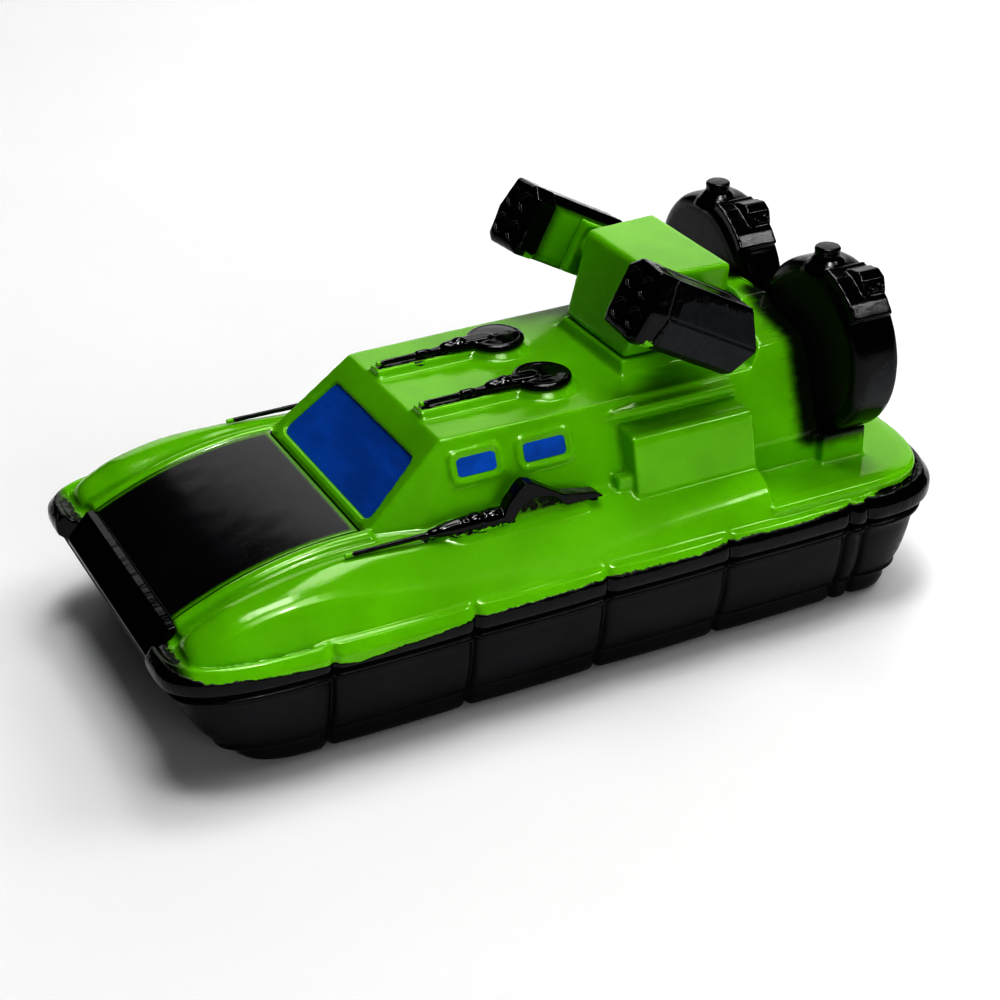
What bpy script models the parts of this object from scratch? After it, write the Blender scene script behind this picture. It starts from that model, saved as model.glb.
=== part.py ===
"""Toy hovercraft: a moulded hull on a pleated skirt, with a cabin, guns, a launcher turret and two fans.

The bow points along +X, port is +Y and up is +Z. The skirt's foot stands at Z = 0, under the hull's middle.
Sizes are in millimetres, and MM turns them into metres as the meshes are made.
"""

import math

import bpy
import bmesh
from mathutils import Matrix, Vector

MM = 0.001
SEAM = 0.06
SIDES = {"port": 1, "starboard": -1}

# Hull plan: the outline of the rim, with super-elliptic corners
HULL_BOW = 25.14
HULL_STERN = -25.14
HULL_HALF_WIDTH = 13.08
BOW_CORNER_START = 16.6
STERN_CORNER_START = -19.2
BOW_CORNER_POWER = 2.75
STERN_CORNER_POWER = 2.7
CORNER_STEPS = 6

# Pleats: places along the side, and the half width of one
PLEATS = (16.13, 7.68, -0.64, -8.70, -17.0, -18.3)
PLEAT_HALF_WIDTH = 0.34

# Rings of a hull shell: height, inset at the side, at the bow and at the stern,
# width of the bow corner and of the stern corner, depth of the pleats
SKIRT_OUTSIDE = (
    (0.00, 1.97, 4.75, 3.60, 1.9, 3.6, 0.30),
    (0.45, 1.70, 4.20, 3.20, 2.0, 4.0, 0.34),
    (1.30, 1.68, 3.55, 3.00, 2.2, 4.3, 0.34),
    (1.62, 1.32, 3.00, 2.60, 2.3, 4.5, 0.36),
    (3.20, 0.80, 1.85, 1.85, 2.7, 5.6, 0.36),
    (4.75, 0.56, 1.05, 1.20, 3.1, 6.8, 0.36),
    (5.20, 0.60, 0.95, 1.10, 3.2, 7.0, 0.32),
    (5.50, 0.24, 0.60, 0.80, 3.4, 7.3, 0.36),
    (5.94, 0.14, 0.40, 0.45, 3.6, 7.6, 0.30),
)
SKIRT_INSIDE = (
    (5.94, 1.60, 2.50, 2.20, 2.6, 6.4, 0.0),
    (1.60, 3.00, 5.00, 4.30, 1.5, 4.0, 0.0),
    (1.60, 4.00, 6.00, 5.30, 1.2, 3.4, 0.0),
    (0.90, 4.20, 6.40, 5.60, 1.1, 3.2, 0.0),
    (0.90, 3.20, 5.60, 4.80, 1.4, 3.6, 0.0),
    (0.00, 3.20, 5.80, 4.90, 1.4, 3.5, 0.0),
)
BASE_PLATE = (
    (0.25, 3.26, 5.86, 4.96, 1.35, 3.45, 0.0),
    (0.84, 3.26, 5.66, 4.86, 1.35, 3.50, 0.0),
)
DECK_SHELL = (
    (5.00, 2.15, 3.45, 2.90, 2.3, 5.9, 0.0),
    (6.00, 1.74, 2.70, 2.40, 2.5, 6.3, 0.0),
    (6.00, 0.20, 0.45, 0.35, 3.7, 7.7, 0.12),
    (6.22, 0.02, 0.04, 0.04, 3.8, 8.0, 0.16),
    (6.95, 0.00, 0.00, 0.00, 3.8, 8.0, 0.16),
    (7.40, 0.22, 0.20, 0.22, 3.8, 7.9, 0.14),
    (7.62, 0.40, 0.38, 0.40, 3.7, 7.8, 0.08),
    (7.54, 0.56, 0.56, 0.56, 3.7, 7.8, 0.0),
    (7.30, 0.62, 0.65, 0.62, 3.7, 7.8, 0.0),
)
STERN_DECK = (
    (7.36, 1.30, 0.0, 1.30, 4.0, 7.3, 0.0),
    (8.06, 0.84, 0.0, 0.84, 4.0, 7.6, 0.0),
    (8.32, 1.05, 0.0, 1.05, 4.0, 7.4, 0.0),
    (8.42, 1.70, 0.0, 1.70, 4.0, 6.9, 0.0),
)
STERN_DECK_FRONT = -12.25
DECK_LEVEL = 7.30
STERN_DECK_TOP = 8.42

# Bow: a crowned foredeck that falls to a raked, painted face
CROWN_X = 12.6
CROWN_Z = 10.58
CROWN_FALL = 0.02358
FOREDECK_FRONT = 23.00
FOREDECK_BACK = 12.15
FOREDECK_HALF_WIDTH = 8.1
HATCH_HALF_WIDTH = 6.66
HATCH_THICKNESS = 0.42
RAIL_INNER = 6.78
RAIL_OUTER = 7.86
RAIL_RISE = 0.12
BOW_FACE_TOP = (23.40, 7.70)
BOW_FACE_FOOT = (24.76, 6.32)
BOW_FACE_HALF_WIDTH = 7.0
BOW_FACE_THICKNESS = 0.40

# Sponson sections: place along the hull, then the inner edge, the crest, the shoulder and the foot as (y, z)
SPONSON = (
    (23.70, (9.20, 7.72), (9.60, 7.86), (10.00, 7.78), (10.40, 7.50)),
    (22.60, (8.70, 8.10), (9.60, 8.52), (10.60, 8.20), (11.25, 7.55)),
    (20.50, (8.34, 9.00), (9.45, 9.48), (10.90, 8.95), (11.80, 7.60)),
    (17.50, (8.34, 9.70), (9.40, 10.08), (11.05, 9.45), (12.10, 7.66)),
    (14.00, (8.34, 10.15), (9.30, 10.40), (11.10, 9.38), (12.30, 7.70)),
    (9.00, (8.34, 10.25), (9.30, 10.14), (11.10, 8.98), (12.40, 7.70)),
    (1.50, (8.34, 10.25), (9.30, 10.08), (11.10, 8.82), (12.40, 7.70)),
    (-6.00, (8.34, 10.25), (9.30, 10.08), (11.10, 9.05), (12.40, 7.70)),
    (-12.17, (8.34, 10.20), (9.30, 10.02), (11.10, 9.22), (12.30, 7.70)),
)
SPONSON_FOOT = 7.38

# Cabin: its lower box between the sponsons, and the sloped house above
CABIN_FRONT = 12.05
CABIN_BACK = -13.40
CABIN_LOWER_BACK = -12.17
CABIN_BELT = 10.34
CABIN_LOWER_HALF_WIDTH = 8.27
ROOF_FRONT = 6.68
ROOF_LEVEL = 14.70
# Columns: place along the hull and half width, at the belt and at the roof
CABIN_BELT_LINE = ((11.83, 7.31), (8.60, 8.10), (0.00, 8.27), (CABIN_BACK, 8.27))
CABIN_ROOF_LINE = ((ROOF_FRONT, 6.42), (6.10, 6.50), (0.00, 6.62), (CABIN_BACK, 6.72))
WINDSCREEN_LOW = (0.72, 6.40)
WINDSCREEN_HIGH = (4.98, 5.55)
WINDSCREEN_RADIUS = 0.45
PANE_DEPTH = 0.42
PANE_THICKNESS = 0.22

# Side windows: middle along the hull, height up the wall, length and height of the pane
SIDE_WINDOWS = (
    (4.85, 2.97, 2.36, 1.00),
    (0.58, 2.91, 2.57, 1.03),
)
WINDOW_FRAME = 0.42
WINDOW_FRAME_RISE = 0.18
WINDOW_RADIUS = 0.28
WINDOW_RECESS = 0.08
WINDOW_THICKNESS = 0.18

# Roof guns: a disc on a round pedestal, and a barrel on a plinth with sloped sides
ROOF_GUN_Y = 3.02
ROOF_GUN_DISC_X = -1.47
ROOF_GUN_DISC_RADIUS = 1.76
ROOF_GUN_DISC_Z = (15.14, 15.54)
ROOF_GUN_PEDESTAL_RADII = (2.30, 1.62)
ROOF_GUN_PLINTH_X = (0.20, 6.45)
ROOF_GUN_PLINTH_HALF_WIDTHS = (0.95, 0.36)
ROOF_GUN_PLINTH_TOP = 15.12
# Columns: place along the barrel from its tip, radius
ROOF_GUN_BARREL = (
    (0.00, 0.15), (2.55, 0.17), (2.65, 0.27), (3.20, 0.27), (3.30, 0.20),
    (4.10, 0.24), (4.50, 0.42), (5.30, 0.46), (5.60, 0.36), (6.30, 0.30),
)

# Side guns: a long barrel on a plinth along the sponson, and a shield on an arched strut with a tail
SIDE_GUN_Y = 9.15
SIDE_GUN_TIP_X = 13.80
SIDE_GUN_AXIS_Z = 10.62
SIDE_GUN_BARREL = (
    (0.00, 0.14), (2.60, 0.15), (4.90, 0.17), (5.20, 0.28), (6.10, 0.46),
    (7.40, 0.56), (9.30, 0.60), (9.80, 0.50),
)
SIDE_GUN_PLINTH_X = (-1.75, 8.70)
SIDE_GUN_PLINTH_TOP = 10.48
SIDE_GUN_PLINTH_SECTION = (
    (8.42, 10.32), (9.32, 10.17), (9.92, 9.76), (10.00, 9.84), (9.62, SIDE_GUN_PLINTH_TOP),
    (8.42, SIDE_GUN_PLINTH_TOP),
)
SHIELD_OUTLINE = (
    (4.60, 10.30), (4.10, 11.55), (3.36, 12.40), (3.05, 12.66), (2.50, 12.48), (0.60, 11.28), (-1.45, 10.88),
    (-2.00, 10.50), (-1.90, 10.30), (0.20, 10.30), (0.85, 10.95), (1.30, 11.32), (1.90, 11.46), (2.65, 11.50),
    (3.10, 11.25), (3.50, 10.90), (3.80, 10.30),
)
SHIELD_Y = (8.85, 9.72)

# Lockers on the cabin's sides, a step in front of each, and the ledge above
LOCKER_X = (-12.12, -4.15)
LOCKER_SECTION = ((8.36, 10.42), (9.30, 10.22), (9.86, 10.02), (9.10, 13.34), (7.32, 13.44))
LOCKER_STEP = (-2.90, 8.50, 9.15, 10.34, 10.98)
LEDGE_X = (-12.00, -2.30)
LEDGE_SECTION = ((7.16, 13.72), (7.48, 13.76), (7.40, 14.28), (6.94, 14.42))

# Fan housing behind the cabin, on the line of its walls: half of its outline from behind, as (y, z)
HOUSING_X = (-17.50, CABIN_BACK - SEAM)
HOUSING_OUTLINE = (
    (2.10, 17.00), (3.00, 16.42), (5.20, 16.04), (6.20, 15.74), (6.61, 15.00), (8.27, 10.34),
    (8.27, STERN_DECK_TOP + SEAM),
)
HOUSING_RAMP = ((-13.0, 14.20), (-15.40, 17.2), (-13.0, 17.2))
# The turret's sweep over the housing: radius and floor
TURRET_WELL = (5.85, 15.38)

# Fan drums on the housing's rear
FAN_Y = 6.11
FAN_Z = 14.93
DRUM_RADIUS = 5.38
DRUM_FRONT = -17.62
DRUM_BACK = -20.65
DRUM_WALL = 0.62
DRUM_WEB = 1.00
ROTOR_HUB_RADIUS = 1.10
ROTOR_RADIUS = 4.40
ROTOR_X = (-20.20, -18.85)
ROTOR_BLADES = 6
BLADE_WIDTH = 1.75
BLADE_THICKNESS = 0.34
BLADE_PITCH = 32.0
AXLE_RADIUS = 0.42
# Knob on top of each drum: place, radius, height of its flared foot and of its top above the drum's axis
KNOB_X = -18.85
KNOB_RADIUS = 0.68
KNOB_FOOT_RADIUS = 1.25
KNOB_NECK = 5.72
KNOB_TOP = 6.25
# Lug on each drum's port shoulder, a pad with a lump on its rear half: angle and radius at the corners
PAD_X = (-20.50, -17.85)
PAD_CORNERS = ((36.5, 5.0), (36.7, 5.60), (56.0, 5.62), (76.0, 5.60), (77.0, 5.0))
LUMP_X = (-20.60, -19.05)
LUMP_CORNERS = ((50.0, 5.0), (51.0, 5.65), (57.0, 6.16), (63.5, 6.16), (70.5, 5.72), (73.0, 5.0))
CRADLE_X = (-20.30, -17.90)
CRADLE_HALF_WIDTH = 3.0

# Launcher turret: a swivelling block with two pods on a shaft
SWIVEL_X = -10.0
BASE_X = (-13.30, -6.20)
BASE_HALF_WIDTH = 3.55
BASE_Z = (14.76, 15.46)
BLOCK_FOOT_Z = 15.52
BLOCK_TOP_Z = 20.62
# Columns: front x and half width, rear x and half width
BLOCK_FOOT = (-6.50, 3.62, -13.20, 3.70)
BLOCK_TOP = (-8.38, 4.26, -13.26, 4.62)
SHAFT_X = -9.06
SHAFT_Z = 18.96
SHAFT_RADIUS = 0.90
SHAFT_HALF_LENGTH = 5.46
POD_PITCH = 29.0
# Pods: the inner face, the section's corners as (outward, up) from it, and where each corner ends behind
POD_INNER = 5.52
POD_CORNERS = (
    (0.15, -2.02), (3.00, -2.20), (3.50, -1.90), (3.72, -0.10), (3.05, 1.98), (0.90, 2.10), (0.05, 1.50),
    (0.00, -1.50),
)
POD_REAR = (-2.90, -2.60, -2.75, -3.55, -2.50, -2.30, -2.60, -2.80)
POD_FRONT = 3.20
MUZZLE_FRONT = 4.72
MUZZLE_GROW = 0.10
TUBE_RADIUS = 0.66
TUBE_DEPTH = 0.55
TUBES = ((1.05, 0.95), (2.62, 0.85), (1.05, -0.95), (2.68, -0.95))

# Finishes: base colour, roughness
FINISHES = {
    "green_plastic": ((0.16, 0.48, 0.010, 1.0), 0.28),
    "gloss_black": ((0.006, 0.006, 0.007, 1.0), 0.16),
    "satin_black": ((0.018, 0.019, 0.022, 1.0), 0.55),
    "skirt_black": ((0.022, 0.022, 0.025, 1.0), 0.42),
    "blue_paint": ((0.006, 0.08, 0.42, 1.0), 0.30),
}

for leftover in list(bpy.data.objects):
    bpy.data.objects.remove(leftover, do_unlink=True)

model = bpy.data.collections.new("toy_hovercraft")
cutters = bpy.data.collections.new("cutters")
bpy.context.scene.collection.children.link(model)
bpy.context.scene.collection.children.link(cutters)


def material(name):
    """The Principled BSDF material of one finish, made once."""
    found = bpy.data.materials.get(name)
    if found:
        return found
    colour, roughness = FINISHES[name]
    made = bpy.data.materials.new(name)
    made.use_nodes = True
    shader = made.node_tree.nodes["Principled BSDF"]
    shader.inputs["Base Color"].default_value = colour
    shader.inputs["Roughness"].default_value = roughness
    made.diffuse_color = colour
    return made


def add_object(name, mesh, finish=None):
    """Link a mesh as an object: a piece of the model if it has a finish, otherwise a cutter."""
    piece = bpy.data.objects.new(name, mesh)
    if finish:
        mesh.materials.append(material(finish))
        model.objects.link(piece)
    else:
        cutters.objects.link(piece)
        piece.hide_render = True
        piece.display_type = "WIRE"
    return piece


def mesh_from(name, shape):
    """Turn a bmesh in millimetres into a mesh in metres, with its faces pointing out."""
    bmesh.ops.recalc_face_normals(shape, faces=shape.faces)
    bmesh.ops.scale(shape, vec=(MM, MM, MM), verts=shape.verts)
    mesh = bpy.data.meshes.new(name)
    shape.to_mesh(mesh)
    shape.free()
    mesh.shade_smooth()
    mesh.set_sharp_from_angle(angle=math.radians(30))
    return mesh


def loft(name, rings, finish=None, closed=False):
    """Skin a row of rings of equal count. A closed row joins its last ring to its first, others get caps."""
    shape = bmesh.new()
    rows = [[shape.verts.new(point) for point in ring] for ring in rings]
    pairs = list(zip(rows, rows[1:]))
    if closed:
        pairs.append((rows[-1], rows[0]))
    for low, high in pairs:
        for i in range(len(low)):
            j = (i + 1) % len(low)
            shape.faces.new((low[i], low[j], high[j], high[i]))
    if not closed:
        shape.faces.new(rows[0])
        shape.faces.new(rows[-1])
    return add_object(name, mesh_from(name, shape), finish)


def plan_ring(level):
    """One ring of the hull's plan, round from the stern's port corner to the starboard one, pleats let in."""
    z, side, bow, stern, bow_corner, stern_corner, depth = level
    half_width = HULL_HALF_WIDTH - side
    half = []
    for step in range(CORNER_STEPS + 1):
        turn = math.radians(90 * step / CORNER_STEPS)
        reach = STERN_CORNER_START - (HULL_STERN + stern)
        x = STERN_CORNER_START - reach * math.cos(turn) ** (2 / STERN_CORNER_POWER)
        y = half_width - stern_corner * (1 - math.sin(turn) ** (2 / STERN_CORNER_POWER))
        half.append((x, y, z))
    for place in sorted(PLEATS):
        half.append((place - PLEAT_HALF_WIDTH, half_width, z))
        half.append((place, half_width - depth, z))
        half.append((place + PLEAT_HALF_WIDTH, half_width, z))
    for step in range(CORNER_STEPS, -1, -1):
        turn = math.radians(90 * step / CORNER_STEPS)
        reach = (HULL_BOW - bow) - BOW_CORNER_START
        x = BOW_CORNER_START + reach * math.cos(turn) ** (2 / BOW_CORNER_POWER)
        y = half_width - bow_corner * (1 - math.sin(turn) ** (2 / BOW_CORNER_POWER))
        half.append((x, y, z))
    return half + [(x, -y, z) for x, y, z in reversed(half)]


def rounded(corners, radius, steps=3):
    """A closed outline of straight sides, each corner turned to an arc."""
    points = []
    for i, corner in enumerate(corners):
        here = Vector(corner)
        back = (Vector(corners[i - 1]) - here).normalized()
        ahead = (Vector(corners[(i + 1) % len(corners)]) - here).normalized()
        half = back.angle(ahead) / 2
        middle = here + (back + ahead).normalized() * (radius / math.sin(half))
        start = here + back * (radius / math.tan(half)) - middle
        end = here + ahead * (radius / math.tan(half)) - middle
        sweep = start.angle_signed(end)
        for step in range(steps + 1):
            arm = start.copy()
            arm.rotate(Matrix.Rotation(-sweep * step / steps, 2))
            points.append(tuple(middle + arm))
    return points


def prism(name, outline, thickness, frame, finish=None):
    """A flat outline with a thickness, from a filled 2D curve, placed by its frame in millimetres."""
    curve = bpy.data.curves.new(name, "CURVE")
    curve.dimensions = "2D"
    curve.fill_mode = "BOTH"
    curve.extrude = thickness / 2
    spline = curve.splines.new("POLY")
    spline.points.add(len(outline) - 1)
    for point, (u, v) in zip(spline.points, outline):
        point.co = (u, v, 0, 1)
    spline.use_cyclic_u = True
    drawn = bpy.data.objects.new(name, curve)
    cutters.objects.link(drawn)
    bpy.context.view_layer.update()
    filled = bpy.data.meshes.new_from_object(drawn.evaluated_get(bpy.context.evaluated_depsgraph_get()))
    shape = bmesh.new()
    shape.from_mesh(filled)
    bmesh.ops.remove_doubles(shape, verts=shape.verts, dist=0.001)
    bmesh.ops.dissolve_limit(shape, angle_limit=math.radians(0.5), verts=shape.verts, edges=shape.edges)
    bmesh.ops.transform(shape, matrix=frame @ Matrix.Translation((0, 0, thickness / 2)), verts=shape.verts)
    bpy.data.objects.remove(drawn, do_unlink=True)
    bpy.data.curves.remove(curve)
    bpy.data.meshes.remove(filled)
    return add_object(name, mesh_from(name, shape), finish)


def frame_at(origin, u_axis, v_axis):
    """A frame whose local X, Y and Z are the two axes given and their cross product."""
    u = Vector(u_axis).normalized()
    v = Vector(v_axis).normalized()
    n = u.cross(v)
    return Matrix.Translation(origin) @ Matrix((u, v, n)).transposed().to_4x4()


def side_view(y):
    """A frame for an outline drawn as (x, z), whose thickness runs to port from the given place."""
    return frame_at((0, y, 0), (1, 0, 0), (0, 0, 1)) @ Matrix.Scale(-1, 4, (0, 0, 1))


def front_view(x):
    """A frame for an outline drawn as (y, z), whose thickness runs forward from the given place."""
    return frame_at((x, 0, 0), (0, 1, 0), (0, 0, 1))


def mirrored(section, sign):
    """A cross-section as (y, z), drawn for port and turned over for starboard."""
    points = [(sign * y, z) for y, z in section]
    return points if sign > 0 else points[::-1]


def arc_corners(table, y):
    """Corners given as angle and radius round a fan's axis, as (y, z)."""
    turns = [(math.radians(angle), radius) for angle, radius in table]
    return [(y + radius * math.cos(turn), FAN_Z + radius * math.sin(turn)) for turn, radius in turns]


def block(name, low, high, finish=None):
    """A box between two corners."""
    shape = bmesh.new()
    bmesh.ops.create_cube(shape, size=1.0)
    size = [b - a for a, b in zip(low, high)]
    bmesh.ops.scale(shape, vec=size, verts=shape.verts)
    bmesh.ops.translate(shape, vec=[(a + b) / 2 for a, b in zip(low, high)], verts=shape.verts)
    return add_object(name, mesh_from(name, shape), finish)


def cone(name, start, end, radii, finish=None, sides=24):
    """A cone or a cylinder between two points, with its radius at each."""
    start = Vector(start)
    run = Vector(end) - start
    shape = bmesh.new()
    bmesh.ops.create_cone(
        shape, cap_ends=True, segments=sides, radius1=radii[0], radius2=radii[1], depth=run.length,
        matrix=Matrix.Translation(start + run / 2) @ run.to_track_quat("Z", "Y").to_matrix().to_4x4(),
    )
    return add_object(name, mesh_from(name, shape), finish)


def rod(name, start, end, radius, finish=None, sides=24):
    """A cylinder between two points."""
    return cone(name, start, end, (radius, radius), finish, sides)


def turned(name, profile, tip, sides=10, finish=None):
    """A barrel turned about a line that runs aft from its tip, from a table of place and radius."""
    rings = []
    for place, radius in profile:
        ring = []
        for side in range(sides):
            turn = 2 * math.pi * (side + 0.5) / sides
            ring.append((tip[0] - place, tip[1] + radius * math.cos(turn), tip[2] + radius * math.sin(turn)))
        rings.append(ring)
    return loft(name, rings, finish)


def combine(piece, tool, operation):
    """Cut the tool from the piece, or join it on, with an exact Boolean."""
    step = piece.modifiers.new(tool.name, "BOOLEAN")
    step.operation = operation
    step.solver = "EXACT"
    step.object = tool


def cut(piece, tool):
    combine(piece, tool, "DIFFERENCE")


def fuse(piece, tool):
    combine(piece, tool, "UNION")


def soften(piece, width, segments=2):
    """Round the piece's sharp edges."""
    bevel = piece.modifiers.new("soft edges", "BEVEL")
    bevel.width = width * MM
    bevel.segments = segments
    bevel.limit_method = "ANGLE"
    bevel.angle_limit = math.radians(28)


def move_origin(piece, point):
    """Put the piece's origin on a point of its joint's axis, with its mesh left where it is."""
    shift = Vector(point) * MM
    piece.data.transform(Matrix.Translation(-shift))
    piece.location = shift


def crown(x):
    """Height of the foredeck's crowned top."""
    return CROWN_Z - CROWN_FALL * max(0.0, x - CROWN_X) ** 2


def crown_strip(front, back, drop, foot, steps=8):
    """A side outline whose top follows the crown, drop below it, closed down to a foot if one is given."""
    places = [back + (front - back) * i / steps for i in range(steps + 1)]
    top = [(x, crown(x) - drop) for x in places]
    if foot is None:
        return top
    return top + [(front, foot), (back, foot)]


def build_skirt():
    rings = [plan_ring(level) for level in SKIRT_OUTSIDE + SKIRT_INSIDE]
    loft("skirt", rings, "skirt_black", closed=True)
    loft("base_plate", [plan_ring(level) for level in BASE_PLATE], "skirt_black")


def build_hull():
    deck = loft("hull_deck", [plan_ring(level) for level in DECK_SHELL], "green_plastic")
    top = Vector((BOW_FACE_TOP[0], 0, BOW_FACE_TOP[1]))
    foot = Vector((BOW_FACE_FOOT[0], 0, BOW_FACE_FOOT[1]))
    slope = (foot - top).normalized()
    half = BOW_FACE_HALF_WIDTH
    inward = frame_at(top, slope, (0, 1, 0))
    length = (foot - top).length
    wide = half + SEAM
    room = [(-2.0, -wide), (length + 1.5, -wide), (length + 1.5, wide), (-2.0, wide)]
    behind = inward @ Matrix.Translation((0, 0, -BOW_FACE_THICKNESS - SEAM))
    cut(deck, prism("bow_face_room", room, 4.0, behind))
    panel = [(0.0, -half), (length, -half + 0.25), (length, half - 0.25), (0.0, half)]
    behind = inward @ Matrix.Translation((0, 0, -BOW_FACE_THICKNESS))
    prism("bow_face", panel, BOW_FACE_THICKNESS, behind, "gloss_black")

    stern = block("stern_deck_room", (-40, -30, 0), (STERN_DECK_FRONT, 30, 20))
    deck_top = loft("stern_deck", [plan_ring(level) for level in STERN_DECK], "green_plastic")
    combine(deck_top, stern, "INTERSECT")


def build_sponsons():
    for side, sign in SIDES.items():
        rings = []
        for x, inner, crest, shoulder, foot in SPONSON:
            section = [(inner[0], SPONSON_FOOT), inner, crest, shoulder, foot, (foot[0], SPONSON_FOOT)]
            rings.append([(x, sign * y, z) for y, z in section])
        sponson = loft("sponson_" + side, rings, "green_plastic")
        soften(sponson, 0.35, 2)


def build_foredeck():
    width = 2 * FOREDECK_HALF_WIDTH
    body = crown_strip(FOREDECK_FRONT - 0.2, FOREDECK_BACK, HATCH_THICKNESS + SEAM, DECK_LEVEL + SEAM)
    prism("foredeck", body, width, side_view(-FOREDECK_HALF_WIDTH), "green_plastic")
    top = crown_strip(FOREDECK_FRONT, FOREDECK_BACK, 0.0, None)
    under = crown_strip(FOREDECK_FRONT, FOREDECK_BACK, HATCH_THICKNESS, None)
    width = 2 * HATCH_HALF_WIDTH
    hatch = prism("bow_hatch", top + under[::-1], width, side_view(-HATCH_HALF_WIDTH), "satin_black")
    soften(hatch, 0.10, 1)
    raised = [(x, z + RAIL_RISE) for x, z in top]
    for side, sign in SIDES.items():
        start = RAIL_INNER if sign > 0 else -RAIL_OUTER
        width = RAIL_OUTER - RAIL_INNER
        rail = prism("hatch_rail_" + side, raised + under[::-1], width, side_view(start), "green_plastic")
        soften(rail, 0.22, 2)


def wall_frame(sign):
    """The frame of a cabin side wall: along the hull, up the wall and outward, from the belt amidships."""
    belt = Vector((0, sign * CABIN_BELT_LINE[2][1], CABIN_BELT))
    roof = Vector((0, sign * CABIN_ROOF_LINE[2][1], ROOF_LEVEL))
    along = Vector((1, 0, 0)) if sign < 0 else Vector((-1, 0, 0))
    return frame_at(belt, along, roof - belt)


def build_cabin():

    def ring(line, z):
        return [(x, y, z) for x, y in line] + [(x, -y, z) for x, y in reversed(line)]

    def box_line(back):
        half = CABIN_LOWER_HALF_WIDTH
        return [(CABIN_FRONT, half), (8.60, half), (0.0, half), (back, half)]

    rings = [
        ring(box_line(CABIN_LOWER_BACK), DECK_LEVEL + SEAM),
        ring(box_line(CABIN_LOWER_BACK), STERN_DECK_TOP + SEAM),
        ring(box_line(CABIN_BACK), STERN_DECK_TOP + SEAM + 0.01),
        ring(box_line(CABIN_BACK), CABIN_BELT - 0.10),
        ring(CABIN_BELT_LINE, CABIN_BELT),
        ring(CABIN_ROOF_LINE, ROOF_LEVEL),
    ]
    cabin = loft("cabin", rings, "green_plastic")

    foot = Vector((CABIN_BELT_LINE[0][0], 0, CABIN_BELT))
    head = Vector((ROOF_FRONT, 0, ROOF_LEVEL))
    screen = frame_at(foot, (0, 1, 0), head - foot)
    low, high = WINDSCREEN_LOW, WINDSCREEN_HIGH
    corners = [(-low[1], low[0]), (low[1], low[0]), (high[1], high[0]), (-high[1], high[0])]
    pocket_corners = [
        (-low[1] - SEAM, low[0] - SEAM), (low[1] + SEAM, low[0] - SEAM),
        (high[1] + SEAM, high[0] + SEAM), (-high[1] - SEAM, high[0] + SEAM),
    ]
    deep = Matrix.Translation((0, 0, -PANE_DEPTH - SEAM))
    pocket = prism("windscreen_pocket", rounded(pocket_corners, WINDSCREEN_RADIUS), 2.0, screen @ deep)
    cut(cabin, pocket)
    pane = Matrix.Translation((0, 0, -PANE_DEPTH))
    outline = rounded(corners, WINDSCREEN_RADIUS - SEAM)
    prism("windscreen", outline, PANE_THICKNESS, screen @ pane, "blue_paint")

    for side, sign in SIDES.items():
        wall = wall_frame(sign)
        for number, (x, up, length, height) in enumerate(SIDE_WINDOWS, 1):
            u = -x * sign
            name = "side_window_%s_%d" % (side, number)

            def rectangle(grow):
                a, b = length / 2 + grow, height / 2 + grow
                return [(u - a, up - b), (u + a, up - b), (u + a, up + b), (u - a, up + b)]

            surround = prism(
                name + "_frame", rounded(rectangle(WINDOW_FRAME), WINDOW_RADIUS + 0.2), 0.6,
                wall @ Matrix.Translation((0, 0, WINDOW_FRAME_RISE - 0.6)),
            )
            fuse(cabin, surround)
            behind = wall @ Matrix.Translation((0, 0, -WINDOW_RECESS - SEAM))
            cut(cabin, prism(name + "_room", rounded(rectangle(SEAM), WINDOW_RADIUS), 1.0, behind))
            outline = rounded(rectangle(0.0), WINDOW_RADIUS - SEAM)
            behind = wall @ Matrix.Translation((0, 0, -WINDOW_RECESS))
            prism(name, outline, WINDOW_THICKNESS, behind, "blue_paint")


def build_roof_guns():
    floor = ROOF_LEVEL + SEAM
    for side, sign in SIDES.items():
        y = sign * ROOF_GUN_Y
        back, front = ROOF_GUN_PLINTH_X
        foot, crest = ROOF_GUN_PLINTH_HALF_WIDTHS
        top = ROOF_GUN_PLINTH_TOP
        section = [(y - foot, floor), (y + foot, floor), (y + crest, top), (y - crest, top)]
        plinth = prism("roof_gun_mount_" + side, section, front - back, front_view(back), "green_plastic")
        low, high = ROOF_GUN_DISC_Z
        middle = ROOF_GUN_DISC_X
        start, end = (middle, y, floor), (middle, y, low - SEAM)
        fuse(plinth, cone("gun_pedestal_" + side, start, end, ROOF_GUN_PEDESTAL_RADII, sides=32))
        start, end = (middle, y, low), (middle, y, high)
        disc = rod("roof_gun_" + side, start, end, ROOF_GUN_DISC_RADIUS, "gloss_black")
        soften(disc, 0.14, 2)
        barrel = turned("roof_gun_barrel_" + side, ROOF_GUN_BARREL, (front - 0.10, y, top + 0.24))
        flat = block("roof_gun_flat_" + side, (0.0, y - 1, top - 1), (8, y + 1, top + SEAM))
        fuse(disc, barrel)
        cut(disc, flat)


def build_side_guns():
    for side, sign in SIDES.items():
        back, front = SIDE_GUN_PLINTH_X
        top = SIDE_GUN_PLINTH_TOP
        section = mirrored(SIDE_GUN_PLINTH_SECTION, sign)
        plinth = prism("side_gun_mount_" + side, section, front - back, front_view(back), "green_plastic")
        y = sign * SIDE_GUN_Y
        tip = (SIDE_GUN_TIP_X, y, SIDE_GUN_AXIS_Z)
        gun = turned("side_gun_" + side, SIDE_GUN_BARREL, tip, finish="gloss_black")
        start = SHIELD_Y[0] if sign > 0 else -SHIELD_Y[1]
        shield = prism("gun_shield_" + side, SHIELD_OUTLINE, SHIELD_Y[1] - SHIELD_Y[0], side_view(start))
        fuse(gun, shield)
        low, high = (back - 1, y - 2, top - 2), (front + 0.2, y + 2, top + SEAM)
        cut(gun, block("side_gun_flat_" + side, low, high))
        soften(plinth, 0.10, 1)


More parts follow.
